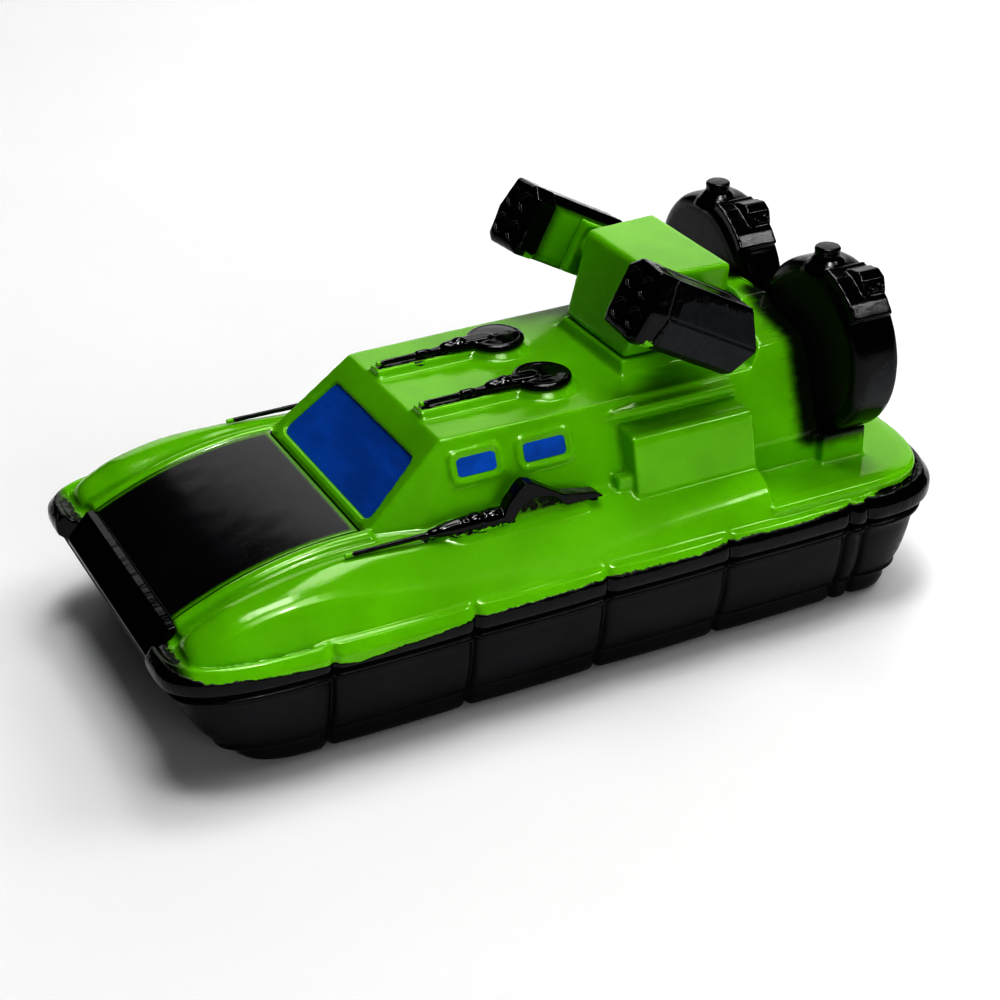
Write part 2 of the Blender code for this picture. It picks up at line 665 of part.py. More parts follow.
def build_cabin_sides():
    for side, sign in SIDES.items():
        back, front = LOCKER_X
        section = mirrored(LOCKER_SECTION, sign)
        locker = prism("locker_" + side, section, front - back, front_view(back), "green_plastic")
        step_front, inner, outer, low, high = LOCKER_STEP
        ys = sorted((sign * inner, sign * outer))
        step = block("locker_step_" + side, (front - 0.5, ys[0], low), (step_front, ys[1], high))
        fuse(locker, step)
        soften(locker, 0.25, 2)
        back, front = LEDGE_X
        section = mirrored(LEDGE_SECTION, sign)
        ledge = prism("roof_rail_" + side, section, front - back, front_view(back), "green_plastic")
        soften(ledge, 0.12, 2)


def build_fan_housing():
    outline = list(HOUSING_OUTLINE) + [(-y, z) for y, z in reversed(HOUSING_OUTLINE)]
    back, front = HOUSING_X
    housing = prism("fan_housing", outline, front - back, front_view(back), "green_plastic")
    half = HOUSING_OUTLINE[-1][0]
    cut(housing, prism("fan_housing_ramp", HOUSING_RAMP, 2 * half + 2, side_view(-half - 1)))
    radius, floor = TURRET_WELL
    cut(housing, rod("turret_well", (SWIVEL_X, 0, floor), (SWIVEL_X, 0, floor + 10), radius, None, 48))
    soften(housing, 0.25, 2)


def build_fans():
    for side, sign in SIDES.items():
        y = sign * FAN_Y
        back, front = (DRUM_BACK, y, FAN_Z), (DRUM_FRONT, y, FAN_Z)
        drum = rod("fan_drum_" + side, back, front, DRUM_RADIUS, "gloss_black", 48)
        back, front = (DRUM_BACK - 1, y, FAN_Z), (DRUM_FRONT - DRUM_WEB, y, FAN_Z)
        bore = rod("fan_bore_" + side, back, front, DRUM_RADIUS - DRUM_WALL, None, 48)
        soften(drum, 0.22, 2)
        cut(drum, bore)
        back, front = (ROTOR_X[0] + 0.2, y, FAN_Z), (DRUM_FRONT - 0.4, y, FAN_Z)
        fuse(drum, rod("fan_axle_" + side, back, front, AXLE_RADIUS))
        neck = (KNOB_X, y, FAN_Z + KNOB_NECK)
        foot = (KNOB_X, y, FAN_Z + DRUM_RADIUS - 0.4)
        flare = cone("fan_knob_foot_" + side, foot, neck, (KNOB_FOOT_RADIUS, KNOB_RADIUS), sides=20)
        start, end = (KNOB_X, y, neck[2] - 0.1), (KNOB_X, y, FAN_Z + KNOB_TOP)
        knob = rod("fan_knob_" + side, start, end, KNOB_RADIUS, sides=20)
        back, front = PAD_X
        pad = prism("fan_pad_" + side, arc_corners(PAD_CORNERS, y), front - back, front_view(back))
        back, front = LUMP_X
        lump = prism("fan_lump_" + side, arc_corners(LUMP_CORNERS, y), front - back, front_view(back))
        for shape in (flare, knob, pad, lump):
            fuse(drum, shape)

        back, front = (ROTOR_X[0], y, FAN_Z), (ROTOR_X[1], y, FAN_Z)
        hub = rod("fan_rotor_" + side, back, front, ROTOR_HUB_RADIUS, "satin_black")
        middle = (ROTOR_X[0] + ROTOR_X[1]) / 2
        for number in range(ROTOR_BLADES):
            shape = bmesh.new()
            bmesh.ops.create_cube(shape, size=1.0)
            span = ROTOR_RADIUS - ROTOR_HUB_RADIUS + 0.5
            bmesh.ops.scale(shape, vec=(BLADE_THICKNESS, BLADE_WIDTH, span), verts=shape.verts)
            turn = Matrix.Rotation(math.radians(sign * BLADE_PITCH), 4, "Z")
            bmesh.ops.transform(shape, matrix=turn, verts=shape.verts)
            lift = Matrix.Translation((0, 0, ROTOR_RADIUS - span / 2))
            around = Matrix.Rotation(2 * math.pi * number / ROTOR_BLADES, 4, "X")
            place = Matrix.Translation((middle, y, FAN_Z)) @ around @ lift
            bmesh.ops.transform(shape, matrix=place, verts=shape.verts)
            blade_name = "fan_blade_%s_%d" % (side, number + 1)
            blade = add_object(blade_name, mesh_from(blade_name, shape))
            fuse(hub, blade)
        back, front = (ROTOR_X[0] - 1, y, FAN_Z), (ROTOR_X[1] + 1, y, FAN_Z)
        cut(hub, rod("fan_eye_" + side, back, front, AXLE_RADIUS + SEAM))
        move_origin(hub, (0, y, FAN_Z))

        cradle = block(
            "fan_cradle_" + side, (CRADLE_X[0], y - CRADLE_HALF_WIDTH, STERN_DECK_TOP + SEAM),
            (CRADLE_X[1], y + CRADLE_HALF_WIDTH, FAN_Z - DRUM_RADIUS * 0.72), "green_plastic",
        )
        back, front = (DRUM_BACK - 2, y, FAN_Z), (DRUM_FRONT + 2, y, FAN_Z)
        cut(cradle, rod("cradle_seat_" + side, back, front, DRUM_RADIUS + SEAM, None, 48))


def build_turret():
    low, high = (BASE_X[0], -BASE_HALF_WIDTH, BASE_Z[0]), (BASE_X[1], BASE_HALF_WIDTH, BASE_Z[1])
    base = block("turret_base", low, high, "green_plastic")
    soften(base, 0.3, 2)

    def ring(front, front_half, rear, rear_half, z):
        port = [(front, front_half, z), (rear, rear_half, z)]
        return port + [(x, -y, z) for x, y, z in reversed(port)]

    rings = [ring(*BLOCK_FOOT, BLOCK_FOOT_Z), ring(*BLOCK_TOP, BLOCK_TOP_Z)]
    turret = loft("turret_block", rings, "green_plastic")
    soften(turret, 0.3, 2)
    bore = rod("shaft_bore", (SHAFT_X, -8, SHAFT_Z), (SHAFT_X, 8, SHAFT_Z), SHAFT_RADIUS + SEAM)
    cut(turret, bore)
    move_origin(turret, (SWIVEL_X, 0, 0))
    start, end = (SHAFT_X, -SHAFT_HALF_LENGTH, SHAFT_Z), (SHAFT_X, SHAFT_HALF_LENGTH, SHAFT_Z)
    shaft = rod("launcher_shaft", start, end, SHAFT_RADIUS, "green_plastic")
    move_origin(shaft, (SHAFT_X, 0, SHAFT_Z))


def build_pods():
    tilt = Matrix.Translation((SHAFT_X, 0, SHAFT_Z)) @ Matrix.Rotation(-math.radians(POD_PITCH), 4, "Y")
    for side, sign in SIDES.items():

        def section(places, grow):
            middle = Vector((1.86, 0.0))
            ring = []
            for place, corner in zip(places, POD_CORNERS):
                arm = Vector(corner) - middle
                y, z = middle + arm * (1 + grow / arm.length)
                ring.append(tilt @ Vector((place, sign * (POD_INNER + y), z)))
            return ring

        count = len(POD_CORNERS)
        rings = [section(POD_REAR, 0), section([POD_FRONT] * count, 0)]
        pod = loft("launcher_pod_" + side, rings, "satin_black")
        soften(pod, 0.18, 2)
        back = POD_FRONT + SEAM
        rows = ((back, -0.12), (back + 0.3, 0.0), (MUZZLE_FRONT - 0.3, 0.0), (MUZZLE_FRONT, -0.25))
        rings = [section([place] * count, MUZZLE_GROW + grow) for place, grow in rows]
        muzzle = loft("launcher_muzzle_" + side, rings, "gloss_black")
        for number, (y, z) in enumerate(TUBES, 1):
            start = tilt @ Vector((MUZZLE_FRONT - TUBE_DEPTH, sign * (POD_INNER + y), z))
            end = tilt @ Vector((MUZZLE_FRONT + 1, sign * (POD_INNER + y), z))
            tube = rod("tube_%s_%d" % (side, number), start, end, TUBE_RADIUS, None, 16)
            cut(muzzle, tube)
        for piece in (pod, muzzle):
            move_origin(piece, (SHAFT_X, 0, SHAFT_Z))


build_skirt()
build_hull()
build_sponsons()
build_foredeck()
build_cabin()
build_roof_guns()
build_side_guns()
build_cabin_sides()
build_fan_housing()
build_fans()
build_turret()
build_pods()
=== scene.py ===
"""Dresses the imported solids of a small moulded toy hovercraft, and lights them as on a table top.

The bow points along +X, port is +Y and up is +Z, in metres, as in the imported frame.
The tables are in millimetres.
"""

import math

import bmesh
import bpy
import numpy as np
from bpy.props import FloatProperty, FloatVectorProperty, IntProperty, PointerProperty
from mathutils import Matrix, Vector, noise


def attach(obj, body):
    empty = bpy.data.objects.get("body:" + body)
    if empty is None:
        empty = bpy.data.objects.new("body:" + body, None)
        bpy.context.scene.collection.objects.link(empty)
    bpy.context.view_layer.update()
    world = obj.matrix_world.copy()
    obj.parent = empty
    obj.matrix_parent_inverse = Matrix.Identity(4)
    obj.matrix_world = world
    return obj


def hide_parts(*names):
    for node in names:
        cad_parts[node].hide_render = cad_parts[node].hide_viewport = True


bl_info = {
    "name": "Toy Hovercraft",
    "version": (1, 0, 0),
    "blender": (4, 5, 0),
    "location": "View3D > Sidebar > Hovercraft",
    "description": "Pieces and finishes of a small moulded toy hovercraft",
    "category": "Object",
}

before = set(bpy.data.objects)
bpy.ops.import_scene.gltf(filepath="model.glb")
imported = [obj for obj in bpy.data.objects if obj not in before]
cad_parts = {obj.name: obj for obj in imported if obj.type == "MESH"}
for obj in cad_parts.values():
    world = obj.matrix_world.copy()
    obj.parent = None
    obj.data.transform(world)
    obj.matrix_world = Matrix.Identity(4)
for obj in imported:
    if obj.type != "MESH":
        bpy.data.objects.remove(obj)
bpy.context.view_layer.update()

MM = 0.001
SIDES = {"port": 1, "starboard": -1}
# Nodes that the green moulding takes the place of: amidships, and on each side
MOULDING_NODES = ("hull_deck", "stern_deck", "foredeck", "cabin", "fan_housing", "turret_base")
MOULDING_SIDE_NODES = (
    "sponson", "hatch_rail", "side_gun_mount", "roof_gun_mount", "locker", "roof_rail", "fan_cradle",
)
BASE_PLATE_SOFTNESS = 0.15

# Hull plan, as in the part's source
HULL_BOW = 25.14
HULL_STERN = -25.14
HULL_HALF_WIDTH = 13.08
BOW_CORNER_START = 16.6
STERN_CORNER_START = -19.2
BOW_CORNER_POWER = 2.75
STERN_CORNER_POWER = 2.7
PLEATS = (16.13, 7.68, -0.64, -8.70, -17.0, -18.3)
# Columns: distance from a pleat's middle, share of its depth there
PLEAT_PROFILE = (
    (0.0, 1.0), (0.06, 0.92), (0.12, 0.70), (0.20, 0.36), (0.30, 0.13), (0.42, 0.03), (0.60, 0.0),
)
PANEL_BULGE = 0.10
FOOT_NOTCH = 0.26

# Rings: height, then the insets at the side, at the bow and at the stern,
# then the widths of the bow's and the stern's corners, and the pleats' depth
SKIRT_RINGS = (
    (0.00, 2.16, 5.00, 3.80, 1.8, 3.5, 0.20),
    (0.08, 1.99, 4.78, 3.62, 1.9, 3.6, 0.30),
    (0.28, 1.80, 4.42, 3.36, 2.0, 3.8, 0.34),
    (0.60, 1.68, 4.06, 3.16, 2.0, 4.0, 0.36),
    (1.10, 1.66, 3.70, 3.02, 2.1, 4.2, 0.36),
    (1.34, 1.62, 3.48, 2.96, 2.2, 4.3, 0.38),
    (1.46, 1.47, 3.22, 2.80, 2.2, 4.4, 0.40),
    (1.54, 1.30, 3.00, 2.60, 2.3, 4.5, 0.40),
    (1.62, 1.21, 2.88, 2.50, 2.3, 4.6, 0.40),
    (1.68, 1.23, 2.89, 2.51, 2.3, 4.6, 0.40),
    (1.75, 1.31, 2.94, 2.56, 2.3, 4.6, 0.40),
    (1.84, 1.29, 2.88, 2.52, 2.4, 4.7, 0.41),
    (2.10, 1.16, 2.64, 2.34, 2.4, 4.8, 0.42),
    (2.60, 0.96, 2.24, 2.10, 2.5, 5.2, 0.44),
    (3.20, 0.80, 1.85, 1.85, 2.7, 5.6, 0.46),
    (4.00, 0.66, 1.42, 1.52, 2.9, 6.2, 0.44),
    (4.75, 0.58, 1.09, 1.24, 3.1, 6.8, 0.40),
    (5.12, 0.58, 0.98, 1.12, 3.2, 7.0, 0.38),
    (5.26, 0.50, 0.90, 1.04, 3.2, 7.1, 0.38),
    (5.36, 0.36, 0.74, 0.92, 3.3, 7.2, 0.38),
    (5.46, 0.22, 0.57, 0.78, 3.4, 7.3, 0.38),
    (5.54, 0.19, 0.53, 0.73, 3.4, 7.4, 0.37),
    (5.62, 0.20, 0.53, 0.71, 3.4, 7.4, 0.36),
    (5.69, 0.26, 0.58, 0.74, 3.5, 7.5, 0.34),
    (5.76, 0.36, 0.66, 0.80, 3.5, 7.5, 0.32),
    (6.02, 0.44, 0.74, 0.86, 3.6, 7.6, 0.30),
)
SKIRT_HOLLOW = (
    (6.02, 1.60, 2.50, 2.20, 2.6, 6.4, 0.0),
    (1.60, 3.00, 5.00, 4.30, 1.5, 4.0, 0.0),
    (1.60, 4.00, 6.00, 5.30, 1.2, 3.4, 0.0),
    (0.90, 4.20, 6.40, 5.60, 1.1, 3.2, 0.0),
    (0.90, 3.20, 5.60, 4.80, 1.4, 3.6, 0.0),
    (0.12, 3.10, 5.66, 4.80, 1.4, 3.5, 0.0),
    (0.00, 2.96, 5.52, 4.66, 1.5, 3.5, 0.0),
)
RIM_RINGS = (
    (5.40, 2.40, 3.60, 3.10, 2.3, 5.9, 0.0),
    (6.00, 1.20, 1.60, 1.50, 3.2, 7.2, 0.0),
    (6.00, 0.34, 0.50, 0.46, 3.7, 7.7, 0.30),
    (6.08, 0.14, 0.24, 0.20, 3.7, 7.8, 0.40),
    (6.24, 0.02, 0.05, 0.04, 3.8, 7.9, 0.44),
    (6.50, 0.00, 0.00, 0.00, 3.8, 8.0, 0.44),
    (6.94, 0.00, 0.00, 0.00, 3.8, 8.0, 0.44),
    (7.06, 0.06, 0.06, 0.06, 3.8, 8.0, 0.44),
    (7.30, 0.24, 0.22, 0.24, 3.8, 7.9, 0.40),
    (7.54, 0.42, 0.38, 0.42, 3.7, 7.8, 0.30),
    (7.62, 0.52, 0.48, 0.52, 3.7, 7.8, 0.22),
    (7.60, 0.64, 0.60, 0.64, 3.7, 7.8, 0.10),
    (7.36, 0.76, 0.74, 0.76, 3.7, 7.8, 0.0),
    (7.28, 0.92, 0.92, 0.92, 3.7, 7.8, 0.0),
)
STERN_DECK_RINGS = (
    (7.00, 1.30, 0.0, 1.30, 4.0, 7.3, 0.0),
    (7.60, 0.92, 0.0, 0.92, 4.0, 7.6, 0.0),
    (8.06, 0.86, 0.0, 0.86, 4.0, 7.6, 0.0),
    (8.32, 1.05, 0.0, 1.05, 4.0, 7.4, 0.0),
    (8.42, 1.70, 0.0, 1.70, 4.0, 6.9, 0.0),
)
STERN_DECK_FRONT = -11.9

# Crowned foredeck with a painted hatch and a rail on each side
CROWN_X = 12.6
CROWN_Z = 10.58
CROWN_FALL = 0.02358
FOREDECK_FRONT = 23.00
FOREDECK_BACK = 11.9
FOREDECK_HALF_WIDTH = 8.3
FOREDECK_FLOOR = 7.0
HATCH_THICKNESS = 0.30
RAIL_MIDDLE = 7.32
RAIL_RADIUS = 0.54
RAIL_RISE = 0.44

# Sponson sections: place along the hull, then inner edge, crest, shoulder and foot as (y, z)
SPONSON = (
    (23.46, (8.90, 7.30), (9.45, 7.36), (10.00, 7.34), (10.44, 7.30)),
    (23.36, (8.62, 7.62), (9.45, 7.86), (10.20, 7.74), (10.74, 7.38)),
    (22.90, (8.40, 8.02), (9.50, 8.40), (10.50, 8.08), (11.12, 7.46)),
    (21.90, (8.30, 8.48), (9.52, 8.90), (10.76, 8.50), (11.50, 7.52)),
    (20.50, (8.20, 9.00), (9.45, 9.50), (10.92, 8.97), (11.84, 7.54)),
    (17.50, (8.10, 9.70), (9.40, 10.10), (11.06, 9.46), (12.12, 7.58)),
    (14.00, (8.10, 10.15), (9.30, 10.40), (11.10, 9.40), (12.30, 7.62)),
    (9.00, (8.00, 10.27), (9.30, 10.16), (11.12, 9.02), (12.38, 7.62)),
    (1.50, (8.00, 10.27), (9.30, 10.10), (11.12, 8.86), (12.38, 7.62)),
    (-6.00, (8.00, 10.27), (9.30, 10.10), (11.12, 9.07), (12.36, 7.62)),
    (-12.17, (8.00, 10.22), (9.30, 10.04), (11.10, 9.24), (12.30, 7.62)),
)
SPONSON_FOOT = 7.0

# Cabin
CABIN_FRONT = 12.05
CABIN_BACK = -13.40
CABIN_FOOT = 7.2
CABIN_BELT = 10.34
CABIN_HALF_WIDTH = 8.27
ROOF_FRONT = 6.68
ROOF_LEVEL = 14.70
BELT_LINE = ((11.83, 7.31), (8.60, 8.10), (0.00, 8.27), (CABIN_BACK, 8.27))
ROOF_LINE = ((ROOF_FRONT, 6.42), (6.10, 6.50), (0.00, 6.62), (CABIN_BACK, 6.72))
WINDSCREEN = ((-6.46, 0.66), (6.46, 0.66), (5.61, 5.04), (-5.61, 5.04))
WINDSCREEN_RADIUS = 0.55
WINDSCREEN_POCKET = (-0.30, 2.0)
WINDSCREEN_PANE = (-0.46, -0.20)
WINDSCREEN_PANE_GROWTH = 1.01
WINDSCREEN_PANE_RADIUS = 0.5
# Side windows: middle along the hull, height up the wall, length and height of the pane
SIDE_WINDOWS = ((4.85, 2.97, 2.36, 1.00), (0.58, 2.91, 2.57, 1.03))
# Forms round a side window: growth on each side, radius of the corners, low and high from the wall
WINDOW_FRAME = (0.46, 0.5, -0.6, 0.15)
WINDOW_DIP = (0.26, 0.4, 0.02, 2.0)
WINDOW_POCKET = (0.0, 0.28, -0.16, 2.0)
WINDOW_PANE = (0.06, 0.3, -0.2, 0.04)

LOCKER_X = (-12.12, -4.15)
LOCKER_SECTION = (
    (8.0, 10.0), (9.30, 10.0), (9.86, 9.9), (9.16, 13.02), (9.04, 13.24), (8.80, 13.38), (7.32, 13.44),
    (6.9, 13.0),
)
# Step at each locker's foot: along the hull, outward, and up
LOCKER_STEP = ((-4.05, -3.25), (8.3, 9.15), (10.0, 10.98))
# Ledge under the roof's edge: place and size of each ring, the section, and the middle it shrinks to
LEDGE_ENDS = ((-12.00, 1.0), (-5.4, 1.0), (-4.0, 0.7), (-3.5, 0.2))
LEDGE_SECTION = ((6.9, 13.60), (7.48, 13.74), (7.40, 14.28), (6.6, 14.44))
LEDGE_MIDDLE = (6.9, 13.9)
HOUSING_X = (-17.50, -13.0)
HOUSING_OUTLINE = (
    (2.10, 17.00), (3.00, 16.42), (5.20, 16.04), (6.20, 15.74), (6.61, 15.00), (8.27, 10.34), (8.27, 8.0),
)
HOUSING_RAMP = ((-12.5, 13.46), (-15.40, 17.2), (-12.5, 17.2))
# Round well under the turret: middle, radius, floor
TURRET_WELL = (-10.0, 5.85, 15.38)
FAN_Y = 6.11
FAN_Z = 14.93
DRUM_RADIUS = 5.38
CRADLE_X = (-20.30, -17.30)
CRADLE_HALF_WIDTH = 3.0
CRADLE_Z = (8.0, 11.05)
# Base under the turret: height, front, back, half width
BASE_RINGS = (
    (14.40, -6.14, -13.44, 4.12), (14.78, -6.20, -13.40, 4.04), (15.40, -6.44, -13.30, 3.70),
    (15.47, -6.52, -13.24, 3.62),
)

ROOF_GUN_Y = 3.02
ROOF_GUN_DISC_X = -1.47
# Plinth of a side gun: place and drop of each ring, and the section as (outward, height)
SIDE_GUN_PLINTH_ENDS = ((-1.70, 0.40), (-0.9, 0.0), (6.9, 0.0), (8.70, 0.36))
SIDE_GUN_PLINTH = (
    (8.0, 9.6), (9.32, 9.5), (9.94, 9.60), (9.70, 10.10), (9.48, 10.40), (9.30, 10.48), (8.0, 10.48),
)
SIDE_GUN_PLINTH_SHOULDER = 9.95
SIDE_GUN_Y = 9.15
# Web that fills the arch under a side gun's shield, as (x, z)
WEB_OUTLINE = (
    (0.1, 10.2), (0.85, 11.0), (1.30, 11.36), (1.90, 11.50), (2.65, 11.54), (3.2, 11.3), (3.9, 10.2),
)
WEB_Y = (8.0, 9.30)

# Black face of the bow as (x, z): the hatch's edge, the ledge, the rake, the lower edge, and the back
BOW_SECTION = ((22.98, 7.86), (23.46, 7.80), (24.78, 6.34), (24.72, 6.04), (24.20, 5.98), (22.98, 7.20))
BOW_HALF_WIDTH = 7.35
HATCH_HALF_WIDTH = 6.80
HATCH_BACK = 12.0

# Upper edge of the black paint round the rim, as (x, z)
RIM_PAINT = (
    (-25.2, 7.72), (-19.5, 7.62), (-16.0, 7.42), (-12.6, 7.28), (-8.2, 7.33), (-6.1, 7.15), (-1.4, 7.18),
    (6.0, 7.06), (15.0, 6.45), (16.5, 6.65), (18.4, 6.82), (20.8, 7.00), (23.0, 7.05), (24.0, 7.35),
    (25.2, 7.75),
)

# Roof guns: the plinth's section as (distance across, height), the disc as (radius, height),
# and the beads on the barrel as (place, height, radius)
ROOF_PLINTH = ((-1.0, 14.5), (-0.74, 14.76), (-0.52, 15.13), (0.52, 15.13), (0.74, 14.76), (1.0, 14.5))
ROOF_PLINTH_X = (-1.0, 6.50)
# Cone under the disc: height and radius of its foot and of its top
ROOF_GUN_CONE = ((14.6, 2.22), (15.16, 1.62))
ROOF_GUN_DISC = (
    (1.40, 15.12), (1.66, 15.17), (1.76, 15.30), (1.75, 15.42), (1.67, 15.52), (1.54, 15.57), (1.42, 15.55),
    (1.00, 15.60), (0.50, 15.63), (0.02, 15.64),
)
ROOF_GUN_BEADS = (
    (5.95, 15.30, 0.20), (3.55, 15.36, 0.24), (3.12, 15.38, 0.24), (1.78, 15.42, 0.36), (0.98, 15.46, 0.46),
)
# Breech behind the barrel: place and radius of each end, foot and height
BREECH_X = (1.6, -0.72)
BREECH_RADII = (0.46, 0.64)
BREECH_FOOT = 15.2
BREECH_HEIGHT = 0.52
# Lumps of paint on a side gun: place, distance from the middle, height, half length, radius
SIDE_GUN_LUMPS = (
    (7.60, 9.20, 10.66, 1.00, 0.40), (6.70, 9.24, 10.70, 0.42, 0.46), (5.98, 9.22, 10.72, 0.75, 0.56),
    (4.90, 9.22, 10.66, 0.80, 0.62), (4.25, 9.38, 10.60, 0.34, 0.40), (4.05, 9.50, 10.42, 0.22, 0.30),
    (7.00, 9.50, 10.42, 0.50, 0.20), (5.60, 9.52, 10.40, 0.60, 0.22),
)

# Launcher: pods on a shaft, drawn in a frame that pitches with them
SHAFT_X = -9.06
SHAFT_Z = 18.96
# Columns: radius, distance from the middle
SHAFT_PROFILE = ((0.90, 0.0), (0.90, 5.50), (0.02, 5.50))
POD_PITCH = 29.0
POD_INNER = 5.52
# Boss that carries a pod at the shaft's end: low and high corner as (along, up), then each ring's
# distance from the middle and inset
BOSS_LOW = (-1.45, -1.92)
BOSS_HIGH = (1.16, 1.46)
BOSS_RINGS = ((4.78, 0.14), (4.92, 0.0), (POD_INNER + 0.02, 0.0))
# Pod section as (outward, up) from the inner face, and where each corner ends behind
POD_CORNERS = (
    (0.15, -2.02), (3.00, -2.20), (3.50, -1.90), (3.72, -0.10), (3.05, 1.98), (0.90, 2.10), (0.05, 1.50),
    (0.00, -1.50),
)
POD_REAR = (-2.90, -2.60, -2.75, -3.55, -2.50, -2.30, -2.60, -2.80)
POD_FRONT = 3.20
# Middle of the section, from which it grows
POD_MIDDLE = (1.86, 0.0)
POD_SIDE_UP = (-2.2, -1.90, -0.10, 1.98)
POD_SIDE_OUT = (3.0, 3.50, 3.72, 3.05)
# Plates on the pod's side and the groove in its top, as (along, up) and (along, outward)
POD_LOWER_PLATE = ((3.16, -0.19), (3.46, -1.50), (3.24, -1.84), (-2.66, -1.84), (-3.48, -0.19))
POD_UPPER_PLATE = ((3.20, 0.02), (-3.44, 0.02), (-2.55, 1.86), (3.20, 1.86))
POD_LOWER_LIFT = 0.14
POD_UPPER_LIFT = 0.05
POD_GROOVE = ((-1.7, 1.50), (2.45, 1.50), (2.45, 1.68), (-1.7, 1.68))
POD_GROOVE_UP = (1.93, 2.5)
# Edge of the thick paint on the pod's side, as (along, up)
POD_GLOSS_EDGE = (
    (-3.5, 1.8), (-2.14, 1.68), (-1.32, 1.54), (0.0, 1.51), (1.74, 1.21), (2.49, 0.98), (2.62, 0.33),
)
# Columns: place along the pod, growth of the section
MUZZLE_RINGS = (
    (3.10, -0.30), (3.12, 0.0), (3.30, 0.06), (4.36, 0.08), (4.54, 0.03), (4.66, -0.16), (4.72, -0.50),
    (4.74, -0.95),
)
# Tubes bored into a muzzle, as (outward, up)
TUBES = ((1.05, 0.95), (2.62, 0.85), (1.05, -0.95), (2.68, -0.95))
TUBE_RADIUS = 0.60
TUBE_ENDS = (4.50, 6.0)

# Fan drums turned about their axis: (radius, distance behind the front), out over the wall and in to the axle
DRUM_FRONT = -17.62
DRUM_PROFILE = (
    (0.02, 0.0), (4.30, 0.0), (4.70, 0.05), (5.00, 0.16), (5.20, 0.34), (5.33, 0.60), (5.38, 0.95),
    (5.38, 2.60), (5.30, 2.90), (5.08, 3.03), (4.86, 2.95), (4.76, 2.75), (4.76, 1.20), (4.60, 1.02),
    (0.90, 1.00), (0.52, 1.00), (0.42, 1.12), (0.42, 2.38), (0.30, 2.46), (0.02, 2.47),
)
KNOB_X = -18.85
KNOB_PROFILE = (
    (1.50, 4.70), (1.30, 5.10), (0.98, 5.42), (0.80, 5.62), (0.74, 5.80), (0.76, 5.92), (0.72, 5.97),
    (0.78, 6.02), (0.78, 6.14), (0.70, 6.24), (0.02, 6.27),
)
# Lug on each drum's port shoulder, a pad with a lump on it: angle and radius at the corners
PAD_X = (-20.50, -17.85)
PAD_CORNERS = ((36.5, 5.0), (36.7, 5.60), (46.0, 5.64), (56.0, 5.64), (66.0, 5.64), (76.0, 5.60), (77.0, 5.0))
LUMP_X = (-20.60, -19.05)
LUMP_CORNERS = ((50.0, 5.0), (51.0, 5.65), (57.0, 6.16), (63.5, 6.16), (70.5, 5.72), (73.0, 5.0))
# Beads on the lump: place, angle, radius, all at one distance from the axis
LUMP_BEADS = ((-19.05, 58.0, 0.16), (-19.5, 51.0, 0.2), (-20.2, 52.0, 0.2), (-20.3, 62.0, 0.18))
LUMP_BEAD_REACH = 6.0
ROTOR_X = -19.52
ROTOR_RADIUS = 4.38
ROTOR_BLADES = 6
BLADE_WIDTH = 1.75
BLADE_THICKNESS = 0.36
BLADE_PITCH = 32.0
HUB_PROFILE = (
    (0.50, -0.66), (0.95, -0.66), (1.08, -0.55), (1.10, -0.40), (1.10, 0.20), (1.04, 0.42), (0.86, 0.60),
    (0.62, 0.68), (0.50, 0.68),
)
# How the pieces are melted: cell, rounds of smoothing, most triangles, then the lumps' height and size
MOST_MOULDING_TRIANGLES = 190000
MELTS = {
    "bow": (0.06, 1, 40000), "windscreen": (0.09, 1, 16000), "side window": (0.05, 1, 6000),
    "roof gun": (0.055, 3, 40000, 0.008, 0.6), "side gun": (0.06, 4, 40000, 0.012, 0.8),
    "turret": (0.09, 9, 60000, 0.01, 3.0), "shaft": (0.08, 3, 30000), "pod": (0.06, 3, 60000, 0.012, 0.8),
    "muzzle": (0.06, 4, 40000, 0.014, 0.9), "drum": (0.085, 4, 70000, 0.012, 1.2), "rotor": (0.06, 2, 40000),
}

# Lights round the toy: name, direction and height in degrees, width and height in metres, watts,
# and what it shows in
STAGE_LIGHTS = (
    ("above", 0, 89, 0.12, 0.12, 0.38, "both"), ("camera_side", 90, 14, 0.20, 0.20, 0.43, "surface"),
    ("stern_window", 180, 42, 0.20, 0.20, 0.30, "surface"), ("stern_far", 225, 66, 0.14, 0.14, 0.26, "both"),
    ("stern_near", 135, 66, 0.14, 0.14, 0.12, "surface"), ("key_glint", 100, 65, 0.17, 0.13, 0.30, "gloss"),
    ("backdrop", 238, 20, 0.50, 0.26, 0.33, "gloss"), ("far_low", 240, 18, 0.20, 0.20, 0.12, "surface"),
    ("spark", 96, 62, 0.035, 0.035, 0.16, "gloss"), ("stern_glint", 138, 44, 0.07, 0.05, 0.10, "gloss"),
)
LIGHT_REACH = 0.4
LIGHT_AIM = (0, 0, 0.008)
# Lamps over the far floor, in metres and watts
FAR_PLACES = ((1.6, 1.6, 1.0), (-1.6, 1.6, 1.0), (-1.6, -1.6, 1.0), (1.6, -1.6, 1.0))
FAR_SIZE = 1.8
FAR_WATTS = 2.2
FLOOR_HALF = 4000.0
FLOOR_COLOURS = ((0.86, 0.86, 0.86), (0.93, 0.93, 0.93))
ROOM_COLOUR = (0.95, 0.97, 1.0, 1.0)
ROOM_STRENGTH = 0.01
# Camera: place, then yaw, dip and roll in degrees
CAMERA_PLACE = (50.76, 103.37, 69.62)
CAMERA_TURN = (243.786, 28.90, -0.936)
CAMERA_LENS = 77.75


